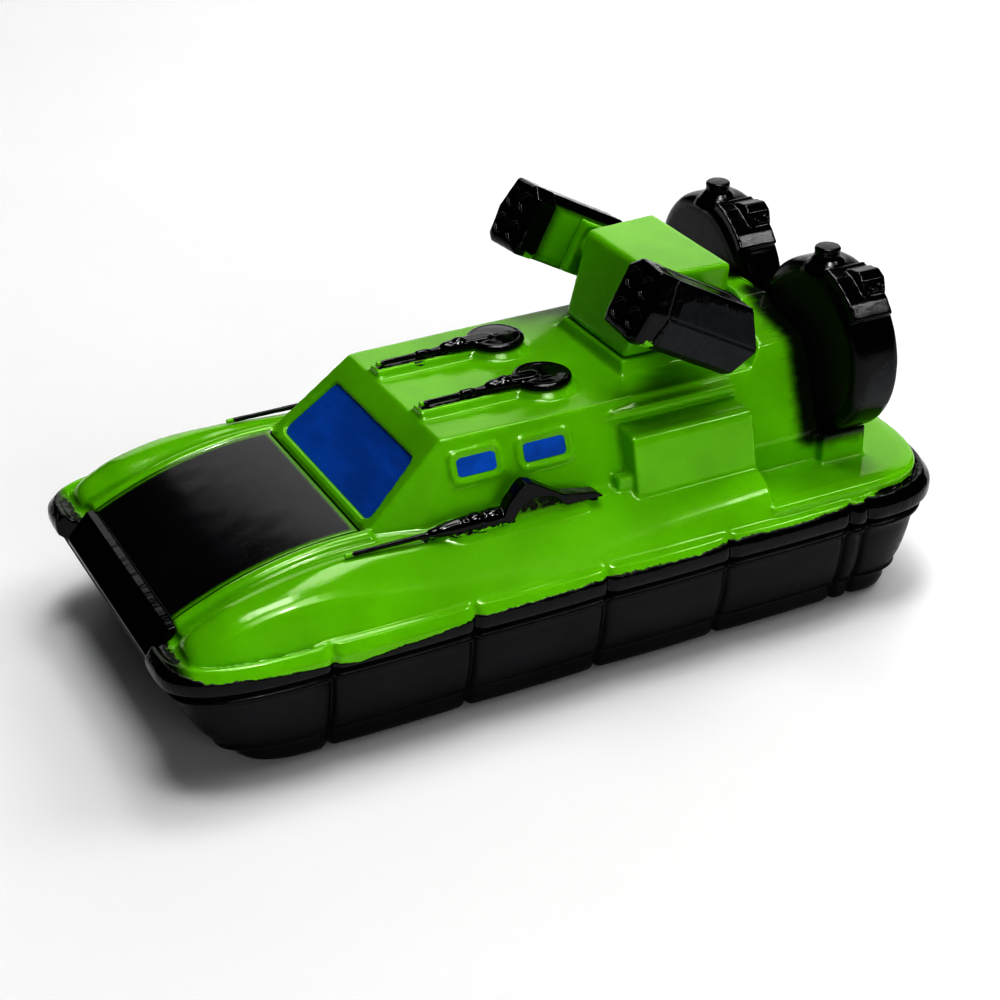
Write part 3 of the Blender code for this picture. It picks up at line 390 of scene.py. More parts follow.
class HoverFinishes(bpy.types.PropertyGroup):
    """Colours of the plastic and the paints."""

    green: FloatVectorProperty(
        name="Green", description="Colour of the moulded plastic", subtype="COLOR", size=3,
        default=(0.178, 0.50, 0.003), min=0, max=1,
    )
    black: FloatVectorProperty(
        name="Black", description="Colour of the black paints", subtype="COLOR", size=3,
        default=(0.0035, 0.0035, 0.0042), min=0, max=1,
    )
    blue: FloatVectorProperty(
        name="Blue", description="Colour of the window paint", subtype="COLOR", size=3,
        default=(0.003, 0.115, 0.46), min=0, max=1,
    )


class HoverSizes(bpy.types.PropertyGroup):
    """Sizes of the moulding."""

    voxel: FloatProperty(
        name="Grain", description="Size of the cells that melt the moulded forms into one skin",
        unit="LENGTH", subtype="DISTANCE", default=0.12 * MM, min=0.08 * MM, max=0.5 * MM, precision=5,
    )
    melt: IntProperty(
        name="Softness", description="Times that the skin is smoothed, which rounds its edges",
        default=5, min=0, max=60,
    )


def catmull(rows, steps):
    """Smooth rows between the rows given, as an array, with the same number of steps in each gap."""
    rows = np.asarray(rows, float)
    padded = np.concatenate([2 * rows[:1] - rows[1:2], rows, 2 * rows[-1:] - rows[-2:-1]])
    out = []
    for i in range(1, len(padded) - 2):
        a, b, c, d = padded[i - 1:i + 3]
        for step in range(steps):
            t = step / steps
            square = (2 * a - 5 * b + 4 * c - d) * t ** 2
            cube = (3 * b - a - 3 * c + d) * t ** 3
            out.append(0.5 * (2 * b + (c - a) * t + square + cube))
    out.append(rows[-1])
    return np.array(out)


def skin(rings, closed=False):
    """Vertices and faces over a row of rings of equal count. An open row is capped."""
    count = len(rings[0])
    vertices = [tuple(point) for ring in rings for point in ring]
    faces = []
    last = len(rings) if closed else len(rings) - 1
    for r in range(last):
        for i in range(count):
            j = (i + 1) % count
            q = ((r + 1) % len(rings)) * count
            faces.append((r * count + i, r * count + j, q + j, q + i))
    if not closed:
        faces.append(tuple(range(count))[::-1])
        faces.append(tuple((len(rings) - 1) * count + i for i in range(count)))
    return vertices, faces


def make_mesh(name, parts):
    """One mesh in metres from (vertices, faces) pairs in millimetres, each with its faces turned outward."""
    shape = bmesh.new()
    for vertices, faces in parts:
        made = [shape.verts.new(vertex) for vertex in vertices]
        new = [shape.faces.new([made[i] for i in face]) for face in faces]
        bmesh.ops.recalc_face_normals(shape, faces=new)
    bmesh.ops.scale(shape, vec=(MM, MM, MM), verts=shape.verts)
    mesh = bpy.data.meshes.new(name)
    shape.to_mesh(mesh)
    shape.free()
    mesh.shade_smooth()
    return mesh


def add_object(name, mesh):
    """A new object in the scene."""
    made = bpy.data.objects.new(name, mesh)
    bpy.context.scene.collection.objects.link(made)
    return made


def mesh_shape(mesh):
    """A mesh as (vertices, faces) in millimetres."""
    vertices = [tuple(vertex.co / MM) for vertex in mesh.vertices]
    return vertices, [tuple(face.vertices) for face in mesh.polygons]


def settle(piece):
    """Apply the piece's modifiers to its mesh."""
    bpy.context.view_layer.update()
    evaluated = piece.evaluated_get(bpy.context.evaluated_depsgraph_get())
    mesh = bpy.data.meshes.new_from_object(evaluated)
    old = piece.data
    piece.modifiers.clear()
    piece.data = mesh
    bpy.data.meshes.remove(old)
    mesh.name = piece.name
    mesh.shade_smooth()


def finish_piece(piece, finish, body, slot, *nodes):
    """Give a new piece its material and its body, and hide the nodes it replaces. The slot argument is not
    used.
    """
    piece.data.materials.clear()
    piece.data.materials.append(finish)
    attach(piece, body)
    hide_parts(*nodes)


def extrude(outline, axis, start, end):
    """A closed outline pushed along X as (y, z), or along Y as (x, z)."""
    rings = []
    for place in (start, end):
        if axis == "X":
            rings.append([(place, u, v) for u, v in outline])
        else:
            rings.append([(u, place, v) for u, v in outline])
    return skin(rings)


def box_shape(low, high):
    """A box between two corners."""
    outline = [(low[1], low[2]), (high[1], low[2]), (high[1], high[2]), (low[1], high[2])]
    return extrude(outline, "X", low[0], high[0])


def ring_angles(sides):
    """Angle of each corner of a round ring."""
    return [2 * math.pi * i / sides for i in range(sides)]


def cylinder_shape(start, end, radius, radius_end=None):
    """A round bar between two points, or a cone."""
    start, end = Vector(start), Vector(end)
    turn = (end - start).normalized().to_track_quat("Z", "Y")
    rings = []
    for point, r in ((start, radius), (end, radius if radius_end is None else radius_end)):
        arms = [Vector((r * math.cos(a), r * math.sin(a), 0)) for a in ring_angles(48)]
        rings.append([tuple(point + turn @ arm) for arm in arms])
    return skin(rings)


def turned(profile, place, sides=64):
    """A profile of (radius, height) turned about the local Z axis of a frame."""
    rings = []
    for radius, height in profile:
        ring = [Vector((radius * math.cos(a), radius * math.sin(a), height)) for a in ring_angles(sides)]
        rings.append([tuple(place @ point) for point in ring])
    return skin(rings)


def blob(centre, radii):
    """An egg, longest along its longest radius."""
    turns = [math.pi * step / 12 for step in range(1, 12)]
    place = Matrix.Translation(centre) @ Matrix.Diagonal((*radii, 1.0))
    return turned([(math.sin(turn), -math.cos(turn)) for turn in turns], place, 20)


def capsule(start, end, radii, height):
    """A low rounded bar that lies flat between two points, with a radius at each end."""
    start, end = Vector(start), Vector(end)
    run = (end - start).normalized()
    side = Vector((0, 0, 1)).cross(run)
    outline = []
    for middle, radius, first in ((end, radii[1], -90), (start, radii[0], 90)):
        for step in range(13):
            turn = math.radians(first + 15 * step)
            outline.append(middle + run * (radius * math.cos(turn)) + side * (radius * math.sin(turn)))
    rings = []
    for share, rise in ((1.0, 0.0), (1.0, 0.5), (0.90, 0.82), (0.66, 1.0)):
        ring = []
        for point in outline:
            near = start + run * max(0.0, min((end - start).length, (point - start).dot(run)))
            ring.append(tuple(near + (point - near) * share + Vector((0, 0, height * rise))))
        rings.append(ring)
    return skin(rings)


def side_run():
    """Places along the hull's side, each with its share of a pleat's depth and of a panel's bulge."""
    marks = sorted(PLEATS)
    places = set(np.round(np.arange(STERN_CORNER_START + 0.4, BOW_CORNER_START - 0.1, 0.6), 3))
    near = [d for d, share in PLEAT_PROFILE if d < 0.5]
    places = {x for x in places if min(abs(x - mark) for mark in marks) > 0.5}
    for mark in marks:
        places |= {round(mark + turn * d, 3) for d in near for turn in (-1, 1)}
    distances, shares = zip(*PLEAT_PROFILE)
    ends = [STERN_CORNER_START - 4.0, *marks, BOW_CORNER_START + 4.0]
    run = []
    for x in sorted(places):
        share = np.interp(min(abs(x - mark) for mark in marks), distances, shares)
        low = max(end for end in ends if end <= x)
        high = min(end for end in ends if end > x)
        run.append((float(x), float(share), math.sin(math.pi * (x - low) / (high - low)) ** 0.7))
    return run


SIDE_RUN = side_run()


def plan_ring(level, bulge=0.0, corner_steps=16):
    """One ring of the hull's plan, round from the stern's port corner to the starboard one, pleats let in."""
    z, side, bow, stern, bow_corner, stern_corner, depth = level
    half_width = HULL_HALF_WIDTH - side
    half = []
    reach = STERN_CORNER_START - (HULL_STERN + stern)
    for step in range(corner_steps + 1):
        turn = math.radians(90 * step / corner_steps)
        x = STERN_CORNER_START - reach * math.cos(turn) ** (2 / STERN_CORNER_POWER)
        y = half_width - stern_corner * (1 - math.sin(turn) ** (2 / STERN_CORNER_POWER))
        half.append((x, y, z))
    for x, share, swell in SIDE_RUN:
        lift = FOOT_NOTCH * share * max(0.0, 1 - z / 0.5) if depth else 0.0
        half.append((x, half_width - depth * share - bulge * (1 - swell) * (1 - share), z + lift))
    reach = (HULL_BOW - bow) - BOW_CORNER_START
    for step in range(corner_steps, -1, -1):
        turn = math.radians(90 * step / corner_steps)
        x = BOW_CORNER_START + reach * math.cos(turn) ** (2 / BOW_CORNER_POWER)
        y = half_width - bow_corner * (1 - math.sin(turn) ** (2 / BOW_CORNER_POWER))
        half.append((x, y, z))
    return half + [(x, -y, z) for x, y, z in reversed(half)]


def rounded(corners, radius, steps=6):
    """A closed outline of straight sides, each corner turned to an arc."""
    points = []
    for i, corner in enumerate(corners):
        here = Vector(corner)
        back = (Vector(corners[i - 1]) - here).normalized()
        ahead = (Vector(corners[(i + 1) % len(corners)]) - here).normalized()
        half = back.angle(ahead) / 2
        middle = here + (back + ahead).normalized() * (radius / math.sin(half))
        start = here + back * (radius / math.tan(half)) - middle
        end = here + ahead * (radius / math.tan(half)) - middle
        sweep = start.angle_signed(end)
        for step in range(steps + 1):
            arm = start.copy()
            arm.rotate(Matrix.Rotation(-sweep * step / steps, 2))
            points.append(tuple(middle + arm))
    return points


def frame_at(origin, u_axis, v_axis):
    """A frame from its origin, its first axis and its second."""
    u = Vector(u_axis).normalized()
    v = Vector(v_axis).normalized()
    return Matrix.Translation(origin) @ Matrix((u, v, u.cross(v))).transposed().to_4x4()


def plate(outline, place, low, high):
    """A flat outline on a frame, from a low to a high distance along its normal."""
    rings = [[tuple(place @ Vector((u, v, n))) for u, v in outline] for n in (low, high)]
    return skin(rings)


def cut_away(name, shape, *tools):
    """The shape with the tools cut out of it, as (vertices, faces) in millimetres."""
    piece = add_object(name, make_mesh(name, [shape]))
    helpers = []
    for number, tool in enumerate(tools):
        helper = add_object("%s_tool_%d" % (name, number), make_mesh(name + "_tool", [tool]))
        step = piece.modifiers.new(helper.name, "BOOLEAN")
        step.operation = "DIFFERENCE"
        step.solver = "EXACT"
        step.object = helper
        helpers.append(helper)
    settle(piece)
    left = mesh_shape(piece.data)
    for thing in helpers + [piece]:
        mesh = thing.data
        bpy.data.objects.remove(thing, do_unlink=True)
        bpy.data.meshes.remove(mesh)
    return left


def melt(piece, voxel, rounds, most_triangles, lumps=0.0, lump_size=1.0):
    """Fuse a piece's closed forms into one skin, round it, make it uneven, and thin its triangles."""
    step = piece.modifiers.new("fuse", "REMESH")
    step.mode = "VOXEL"
    step.voxel_size = voxel * MM
    step.use_smooth_shade = True
    step = piece.modifiers.new("round", "SMOOTH")
    step.factor = 0.5
    step.iterations = rounds
    settle(piece)
    if lumps:
        points = np.empty((len(piece.data.vertices), 3), np.float32)
        normals = np.empty_like(points)
        piece.data.vertices.foreach_get("co", points.ravel())
        piece.data.vertices.foreach_get("normal", normals.ravel())
        swell = np.empty((len(points), 1))
        for i, point in enumerate(points / (MM * lump_size)):
            point = Vector(point)
            swell[i] = noise.noise(point) + 0.5 * noise.noise(point / 0.45)
        moved = (points + normals * swell * (lumps * MM)).astype(np.float32)
        piece.data.vertices.foreach_set("co", moved.ravel())
        piece.data.update()
    triangles = sum(len(face.vertices) - 2 for face in piece.data.polygons)
    if triangles > most_triangles:
        step = piece.modifiers.new("thin", "DECIMATE")
        step.ratio = most_triangles / triangles
        settle(piece)


def mark(piece, name, rule):
    """Store a rule's value for each point of a piece, given in millimetres, as an attribute."""
    values = piece.data.attributes.new(name, "FLOAT", "POINT")
    values.data.foreach_set("value", [rule(*(vertex.co / MM)) for vertex in piece.data.vertices])


def melted(name, shapes, recipe, **rules):
    """A new piece of closed forms melted into one skin, with each rule's values stored on it."""
    piece = add_object(name, make_mesh(name, shapes))
    melt(piece, *recipe)
    for attribute, rule in rules.items():
        mark(piece, attribute, rule)
    return piece


class Shading:
    """Short calls that lay out a material's nodes."""

    def __init__(self, name):
        self.material = bpy.data.materials.new(name)
        self.material.use_nodes = True
        self.tree = self.material.node_tree
        self.shader = self.tree.nodes["Principled BSDF"]
        self.place = self.add("ShaderNodeTexCoord").outputs["Object"]

    def add(self, kind):
        return self.tree.nodes.new(kind)

    def link(self, source, target):
        if isinstance(source, (int, float)):
            target.default_value = source
        elif isinstance(source, (tuple, list)):
            target.default_value = (*source, 1.0)[:len(target.default_value)]
        else:
            self.tree.links.new(source, target)

    def surface(self, colour, roughness, normal=None, **values):
        """Feed the shader, and set constant values on its other sockets."""
        self.link(colour, self.shader.inputs["Base Color"])
        self.link(roughness, self.shader.inputs["Roughness"])
        if normal is not None:
            self.link(normal, self.shader.inputs["Normal"])
        for name, value in values.items():
            self.shader.inputs[name.replace("_", " ")].default_value = value

    def noise(self, per_mm, detail, rough=0.5, stretch=(1, 1, 1), distort=0.0):
        """A cloudy number from 0 to 1, mostly between 0.3 and 0.7."""
        place = self.add("ShaderNodeMapping")
        place.inputs["Scale"].default_value = stretch
        self.link(self.place, place.inputs["Vector"])
        made = self.add("ShaderNodeTexNoise")
        made.inputs["Scale"].default_value = per_mm / MM
        made.inputs["Detail"].default_value = detail
        made.inputs["Roughness"].default_value = rough
        made.inputs["Distortion"].default_value = distort
        self.link(place.outputs["Vector"], made.inputs["Vector"])
        return made.outputs["Fac"]

    def math(self, operation, a, b, c=0.0):
        made = self.add("ShaderNodeMath")
        made.operation = operation
        for value, socket in zip((a, b, c), made.inputs):
            self.link(value, socket)
        return made.outputs[0]

    def waver(self, noise, width):
        """A noise spread evenly about zero."""
        return self.math("MULTIPLY_ADD", noise, width, -width / 2)

    def ramp(self, value, low, high, to_low=0.0, to_high=1.0):
        made = self.add("ShaderNodeMapRange")
        made.interpolation_type = "SMOOTHSTEP"
        self.link(value, made.inputs["Value"])
        for name, number in (("From Min", low), ("From Max", high), ("To Min", to_low), ("To Max", to_high)):
            self.link(number, made.inputs[name])
        return made.outputs["Result"]

    def between(self, kind, sockets, share, a, b):
        """The sockets are the numbers of the two inputs and of the output."""
        low, high, out = sockets
        made = self.add("ShaderNodeMix")
        made.data_type = kind
        for value, number in ((share, 0), (a, low), (b, high)):
            self.link(value, made.inputs[number])
        return made.outputs[out]

    def blend(self, share, a, b):
        """A colour between two colours."""
        return self.between("RGBA", (6, 7, 2), share, a, b)

    def mix(self, share, a, b):
        """A number between two numbers."""
        return self.between("FLOAT", (2, 3, 0), share, a, b)

    def cloud(self, noise, dark, light):
        """A colour that drifts between two colours."""
        return self.blend(self.ramp(noise, 0.3, 0.7), dark, light)

    def attribute(self, name):
        made = self.add("ShaderNodeAttribute")
        made.attribute_name = name
        return made.outputs["Fac"]

    def bump(self, height, depth, normal=None):
        """Depth in millimetres."""
        made = self.add("ShaderNodeBump")
        made.inputs["Strength"].default_value = 1.0
        made.inputs["Distance"].default_value = depth * MM
        self.link(height, made.inputs["Height"])
        if normal is not None:
            self.link(normal, made.inputs["Normal"])
        return made.outputs["Normal"]


def material(name, lay_out, *choices):
    """The material of that name, laid out when a piece first asks for it."""
    found = bpy.data.materials.get(name)
    if found is None:
        s = Shading(name)
        lay_out(s, bpy.context.scene.hover_finishes, *choices)
        found = s.material
    return found


def lime_plastic(s, colours, painted):
    """Lime plastic. Painted, it has gloss black where the paint attribute is above zero, and a black mist:
    thin overspray, and painted shade round the fan drums.
    """
    green = Vector(colours.green)
    colour = s.cloud(s.noise(0.16, 3.0, 0.55), tuple(green * 0.90), tuple(green * 1.08))
    shine = s.ramp(s.noise(5.0, 3.0, 0.6), 0.25, 0.8, 0.11, 0.20)
    height = s.math("MULTIPLY_ADD", s.noise(0.35, 2.0), 0.6, s.math("MULTIPLY", s.noise(3.5, 3.0), 0.05))
    normal = s.bump(height, 0.05)
    if painted:
        ragged = s.waver(s.noise(2.6, 5.0, 0.66, distort=0.4), 0.34)
        wander = s.waver(s.noise(0.5, 1.0), 0.24)
        reach = s.math("ADD", s.attribute("paint"), s.math("ADD", ragged, wander))
        cover = s.ramp(reach, -0.03, 0.035)
        speckle = s.math("MULTIPLY", s.waver(s.noise(3.5, 4.0, 0.7), 0.8), 0.35)
        # The mist darkens the lime towards black: overspray in most places, painted shade round the fan drums
        mist = s.ramp(s.math("ADD", s.attribute("mist"), speckle), 0.05, 0.95)
        dusted_and_shaded = s.blend(s.math("MULTIPLY", mist, 0.97), colour, (0.006, 0.007, 0.006))
        colour = s.blend(cover, dusted_and_shaded, tuple(colours.black))
        shine = s.mix(cover, shine, s.ramp(s.noise(1.4, 3.0), 0.3, 0.7, 0.05, 0.13))
        thick = s.math("MULTIPLY", s.ramp(reach, -0.04, 0.10), s.math("ADD", s.noise(1.8, 3.0), 0.5))
        normal = s.bump(thick, 0.05, normal)
    s.surface(
        colour, shine, normal, IOR=1.5, Subsurface_Weight=0.20, Subsurface_Radius=(0.55, 1.0, 0.12),
        Subsurface_Scale=0.8 * MM,
    )


def gloss_black(s, colours, worn):
    """Thick black paint laid on by brush. Worn, it leaves lime where the bare attribute is above zero."""
    black = Vector(colours.black)
    colour = s.blend(s.noise(0.9, 4.0), tuple(black * 0.7), tuple(black * 1.5))
    strokes = s.noise(0.9, 3.0, stretch=(0.35, 1.6, 1.6))
    height = s.math("MULTIPLY_ADD", s.noise(3.2, 4.0, 0.6), 0.2, strokes)
    shine = s.ramp(s.noise(1.6, 4.0), 0.3, 0.75, 0.04, 0.13)
    if worn:
        ragged = s.waver(s.noise(4.0, 5.0, 0.65), 0.8)
        open_area = s.ramp(s.math("ADD", s.attribute("bare"), ragged), -0.03, 0.04)
        colour = s.blend(open_area, colour, tuple(colours.green))
        height = s.math("SUBTRACT", height, s.math("MULTIPLY", open_area, 0.5))
    s.surface(colour, shine, s.bump(height, 0.02), IOR=1.5)


def pod_black(s, colours):
    """Black over lime: gloss or thin and satin by the gloss attribute, and green where bare is above zero. On
    the fan drums, the thin patch low on the port side is a painted reflection.
    """
    grain = s.waver(s.noise(2.4, 5.0, 0.7), 1.3)
    gloss = s.ramp(s.math("ADD", s.attribute("gloss"), grain), -0.04, 0.06)
    bare = s.ramp(s.math("ADD", s.attribute("bare"), s.math("MULTIPLY", grain, 0.25)), -0.6, 0.6)
    # Thin satin paint, lighter than the gloss; on the drums' low patch it is a painted reflection
    thin = s.blend(s.ramp(s.noise(3.0, 5.0, 0.7), 0.25, 0.75), (0.009, 0.010, 0.013), (0.022, 0.024, 0.028))
    paint = s.blend(gloss, thin, tuple(colours.black))
    height = s.math("MULTIPLY_ADD", s.noise(4.0, 5.0, 0.7), 0.45, s.math("MULTIPLY", gloss, 0.8))
    colour = s.blend(bare, paint, tuple(colours.green))
    s.surface(colour, s.mix(gloss, 0.42, 0.12), s.bump(height, 0.028), IOR=1.5)


def satin_black(s, colours, fading):
    """Thin sprayed black. Fading, it lets the lime through where the edge attribute nears zero."""
    colour = s.cloud(s.noise(0.22, 3.0), (0.006, 0.006, 0.008), (0.011, 0.011, 0.014))
    if fading:
        grain = s.waver(s.noise(5.0, 3.0, 0.7), 0.24)
        cover = s.ramp(s.math("ADD", s.attribute("edge"), grain), 0.02, 0.42)
        colour = s.blend(cover, tuple(Vector(colours.green) * 0.7), colour)
    height = s.math("MULTIPLY_ADD", s.noise(9.0, 3.0, 0.7), 0.10, s.noise(0.4, 1.0))
    s.surface(colour, s.ramp(s.noise(6.0, 3.0), 0.3, 0.7, 0.12, 0.20), s.bump(height, 0.022), IOR=1.5)


def skirt_black(s, colours):
    """Dark semi-matt plastic."""
    colour = s.cloud(s.noise(0.18, 4.0), (0.007, 0.007, 0.009), (0.014, 0.014, 0.017))
    height = s.math("MULTIPLY_ADD", s.noise(5.0, 3.0, 0.6), 0.12, s.noise(0.45, 2.0))
    s.surface(colour, s.ramp(s.noise(4.0, 3.0), 0.3, 0.7, 0.28, 0.42), s.bump(height, 0.05), IOR=1.42)


def window_blue(s, colours):
    """Flat blue window paint."""
    blue = Vector(colours.blue)
    cloud = s.noise(0.5, 4.0, 0.6, stretch=(1.0, 0.4, 1.0))
    colour = s.cloud(cloud, tuple(blue * 0.82), tuple(blue * 1.15))
    shine = s.ramp(s.noise(2.5, 3.0), 0.3, 0.7, 0.50, 0.62)
    s.surface(colour, shine, s.bump(s.noise(1.8, 4.0), 0.03), IOR=1.38)


def pale_table(s, colours):
    """Pale table top, a little uneven."""
    s.surface(s.blend(s.noise(0.02, 4.0), *FLOOR_COLOURS), 0.65)


def crown(x):
    """Height of the painted hatch's top at a place along the hull."""
    return CROWN_Z - CROWN_FALL * max(0.0, x - CROWN_X) ** 2


def cabin_wall(sign):
    """Frame of a side wall: along the hull, up the wall and outward, from the belt amidships."""
    belt = Vector((0, sign * CABIN_HALF_WIDTH, CABIN_BELT))
    roof = Vector((0, sign * ROOF_LINE[2][1], ROOF_LEVEL))
    along = Vector((1, 0, 0)) if sign < 0 else Vector((-1, 0, 0))
    return frame_at(belt, along, roof - belt)


def windscreen_frame():
    """Frame of the windscreen: to port, up the glass and forward, from the middle of its foot."""
    foot = Vector((BELT_LINE[0][0], 0, CABIN_BELT))
    head = Vector((ROOF_FRONT, 0, ROOF_LEVEL))
    return frame_at(foot, (0, 1, 0), head - foot)


def window_plate(sign, window, form):
    """A plate in the outline of a side window, or of one of the forms round it."""
    x, up, length, height = window
    grow, radius, low, high = form
    middle, a, b = -x * sign, length / 2 + grow, height / 2 + grow
    corners = [(middle - a, up - b), (middle + a, up - b), (middle + a, up + b), (middle - a, up + b)]
    return plate(rounded(corners, radius), cabin_wall(sign), low, high)


def cabin_shapes():
    """The cabin with a pocket for each pane, and the raised frames of the side windows."""
    def ring(line, z):
        return [(x, y, z) for x, y in line] + [(x, -y, z) for x, y in reversed(line)]

    upright = [(x, CABIN_HALF_WIDTH) for x in (CABIN_FRONT, *(x for x, y in BELT_LINE[1:]))]
    body = skin([
        ring(upright, CABIN_FOOT), ring(upright, CABIN_BELT - 0.10), ring(BELT_LINE, CABIN_BELT),
        ring(ROOF_LINE, ROOF_LEVEL),
    ])
    tools = [plate(rounded(WINDSCREEN, WINDSCREEN_RADIUS), windscreen_frame(), *WINDSCREEN_POCKET)]
    frames = []
    for sign in SIDES.values():
        for window in SIDE_WINDOWS:
            raised = window_plate(sign, window, WINDOW_FRAME)
            frames.append(cut_away("frame", raised, window_plate(sign, window, WINDOW_DIP)))
            tools.append(window_plate(sign, window, WINDOW_POCKET))
    return [cut_away("cabin_body", body, *tools)] + frames


def bow_room():
    """The room that the bow's black face takes out of the rim and the foredeck."""
    (top_x, top_z), (foot_x, foot_z) = BOW_SECTION[1:3]
    outline = [
        (top_x - 0.40, 12.0), (top_x - 0.40, top_z - 0.3), (foot_x - 0.5, foot_z - 0.5), (foot_x - 0.5, 4.0),
        (30.0, 4.0), (30.0, 12.0),
    ]
    rings = []
    for sign in (-1, 1):
        rings.append([(x, sign * (BOW_HALF_WIDTH + 0.9 * max(0.0, x - 25.0)), z) for x, z in outline])
    return skin(rings)


def sponson_shape(sign):
    """The rounded sponson along one side of the hull."""
    rings = []
    for row in catmull([[(x, *point) for point in points] for x, *points in SPONSON], 5):
        bow = catmull(row, 5)
        ring = [(row[0][0], row[0][1], SPONSON_FOOT)] + [tuple(p) for p in bow]
        ring.append((row[0][0], row[-1][1], SPONSON_FOOT))
        rings.append([(x, sign * y, z) for x, y, z in ring])
    return skin(rings)


def rail_shape(sign):
    """The rail along one side of the hatch."""
    rings = []
    for x in np.linspace(FOREDECK_BACK - 0.4, FOREDECK_FRONT + 0.05, 30):
        middle = crown(x) - HATCH_THICKNESS
        ring = [(RAIL_MIDDLE + RAIL_RADIUS * math.cos(a), RAIL_RISE * math.sin(a)) for a in ring_angles(20)]
        rings.append([(x, sign * out, middle + up) for out, up in ring])
    return skin(rings)


def side_shapes(sign):
    """The forms of the moulding that each side has one of."""
    shapes = [rail_shape(sign), sponson_shape(sign)]
    rings = []
    for x, drop in SIDE_GUN_PLINTH_ENDS:
        drops = [0.8 * drop if z > SIDE_GUN_PLINTH_SHOULDER else 0.0 for y, z in SIDE_GUN_PLINTH]
        rings.append([(x, sign * (y - drop), z - fall) for (y, z), fall in zip(SIDE_GUN_PLINTH, drops)])
    shapes.append(skin(rings))
    shapes.append(extrude(WEB_OUTLINE, "Y", *sorted(sign * y for y in WEB_Y)))
    shapes.append(extrude([(sign * y, z) for y, z in LOCKER_SECTION], "X", *LOCKER_X))
    across, up = LEDGE_MIDDLE
    rings = []
    for x, size in LEDGE_ENDS:
        spots = [(across + (y - across) * size, up + (z - up) * size) for y, z in LEDGE_SECTION]
        rings.append([(x, sign * y, z) for y, z in spots])
    shapes.append(skin(rings))
    step_x, step_y, step_z = LOCKER_STEP
    shapes.append(box_shape(*zip(step_x, sorted(sign * y for y in step_y), step_z)))
    y = sign * ROOF_GUN_Y
    shapes.append(extrude([(y + across, z) for across, z in ROOF_PLINTH], "X", *ROOF_PLINTH_X))
    (foot, wide), (top, narrow) = ROOF_GUN_CONE
    shapes.append(cylinder_shape((ROOF_GUN_DISC_X, y, foot), (ROOF_GUN_DISC_X, y, top), wide, narrow))
    y = sign * FAN_Y
    block = box_shape(*zip(CRADLE_X, (y - CRADLE_HALF_WIDTH, y + CRADLE_HALF_WIDTH), CRADLE_Z))
    seat = cylinder_shape((-30, y, FAN_Z), (-10, y, FAN_Z), DRUM_RADIUS + 0.02)
    shapes.append(cut_away("cradle", block, seat))
    return shapes


def moulding_shapes():
    """Every closed form of the green moulding, in millimetres."""
    shapes = [cut_away("rim", skin([plan_ring(level, PANEL_BULGE) for level in RIM_RINGS]), bow_room())]
    stern = skin([plan_ring(level) for level in STERN_DECK_RINGS])
    shapes.append(cut_away("stern", stern, box_shape((STERN_DECK_FRONT, -20, 0), (40, 20, 20))))
    body = [(x, crown(x) - HATCH_THICKNESS) for x in np.linspace(FOREDECK_BACK, FOREDECK_FRONT, 24)]
    body += [(FOREDECK_FRONT, FOREDECK_FLOOR), (FOREDECK_BACK, FOREDECK_FLOOR)]
    shapes.append(extrude(body, "Y", -FOREDECK_HALF_WIDTH, FOREDECK_HALF_WIDTH))
    for sign in SIDES.values():
        shapes += side_shapes(sign)
    shapes += cabin_shapes()
    outline = [*HOUSING_OUTLINE, *((-y, z) for y, z in reversed(HOUSING_OUTLINE))]
    well_x, well_radius, well_floor = TURRET_WELL
    shapes.append(cut_away(
        "housing", extrude(outline, "X", *HOUSING_X), extrude(HOUSING_RAMP, "Y", -20, 20),
        cylinder_shape((well_x, 0, well_floor), (well_x, 0, 30), well_radius),
    ))
    rings = []
    for z, front, back, half in BASE_RINGS:
        rings.append([(front, -half, z), (front, half, z), (back, half, z), (back, -half, z)])
    shapes.append(skin(rings))
    return shapes


def paint_reach(x, y, z):
    """How far a point of the moulding lies inside its painted areas, below zero outside them."""
    side = abs(y)
    edges, heights = zip(*RIM_PAINT)
    reach = np.interp(x, edges, heights) - z
    # Under each roof gun's barrel, with a blot beside it
    if z > 14.9 and -0.2 < x < 6.3:
        blot = 0.34 - math.dist((x, side, z), (3.75, ROOF_GUN_Y - 0.4, 15.0))
        reach = max(reach, 0.30 - abs(side - ROOF_GUN_Y), blot)
    if 10.0 < z < 11.6 and side > 8.2:
        # Under each side gun's barrel
        if 3.6 < x < 9.2:
            reach = max(reach, min(0.40 - abs(side - SIDE_GUN_Y - 0.06), z - 10.22, 9.2 - x))
        # Behind it, at the shield's foot
        if -1.9 < x < 3.8:
            reach = max(reach, min(0.16 - abs(side - SIDE_GUN_Y), 10.62 - z))
        # On the web in the shield's arch
        if 0.3 < x < 3.9 and z > 10.6:
            reach = max(reach, 0.02)
    return reach


def paint_mist(x, y, z):
    """Share of the thin black dusting that a point of the moulding has: overspray, and painted shade round
    the fan drums.
    """
    side = abs(y)
    mist = 0.0
    # Round the drums, on the housing and the cradles: overspray together with painted shade, darker nearer
    # each drum
    if x < -15.6 and z > 8.6:
        away = math.hypot(side - FAN_Y, z - FAN_Z) - DRUM_RADIUS
        mist = max(0.0, 1.15 - max(0.0, away) / 0.85) * min(1.0, max(0.0, (-15.6 - x) / 1.2))
    # In the shield's arch
    if 0.2 < x < 3.95 and side > 8.9 and 10.5 < z < 11.7:
        mist = 0.5
    # Under the hatch and along its edges
    if x > 11.8 and z > 7.6:
        mist = max(mist, min(1.0, (7.02 - side) / 0.18))
    if 11.6 < x < 12.4 and z > 9.8:
        mist = max(mist, 0.45 * min(1.0, (7.0 - side) / 0.3))
    # At the bow's corners
    if x > 23.3 and side > 6.5:
        mist = max(mist, min(0.95, (x - 23.3) * 0.9))
    return mist


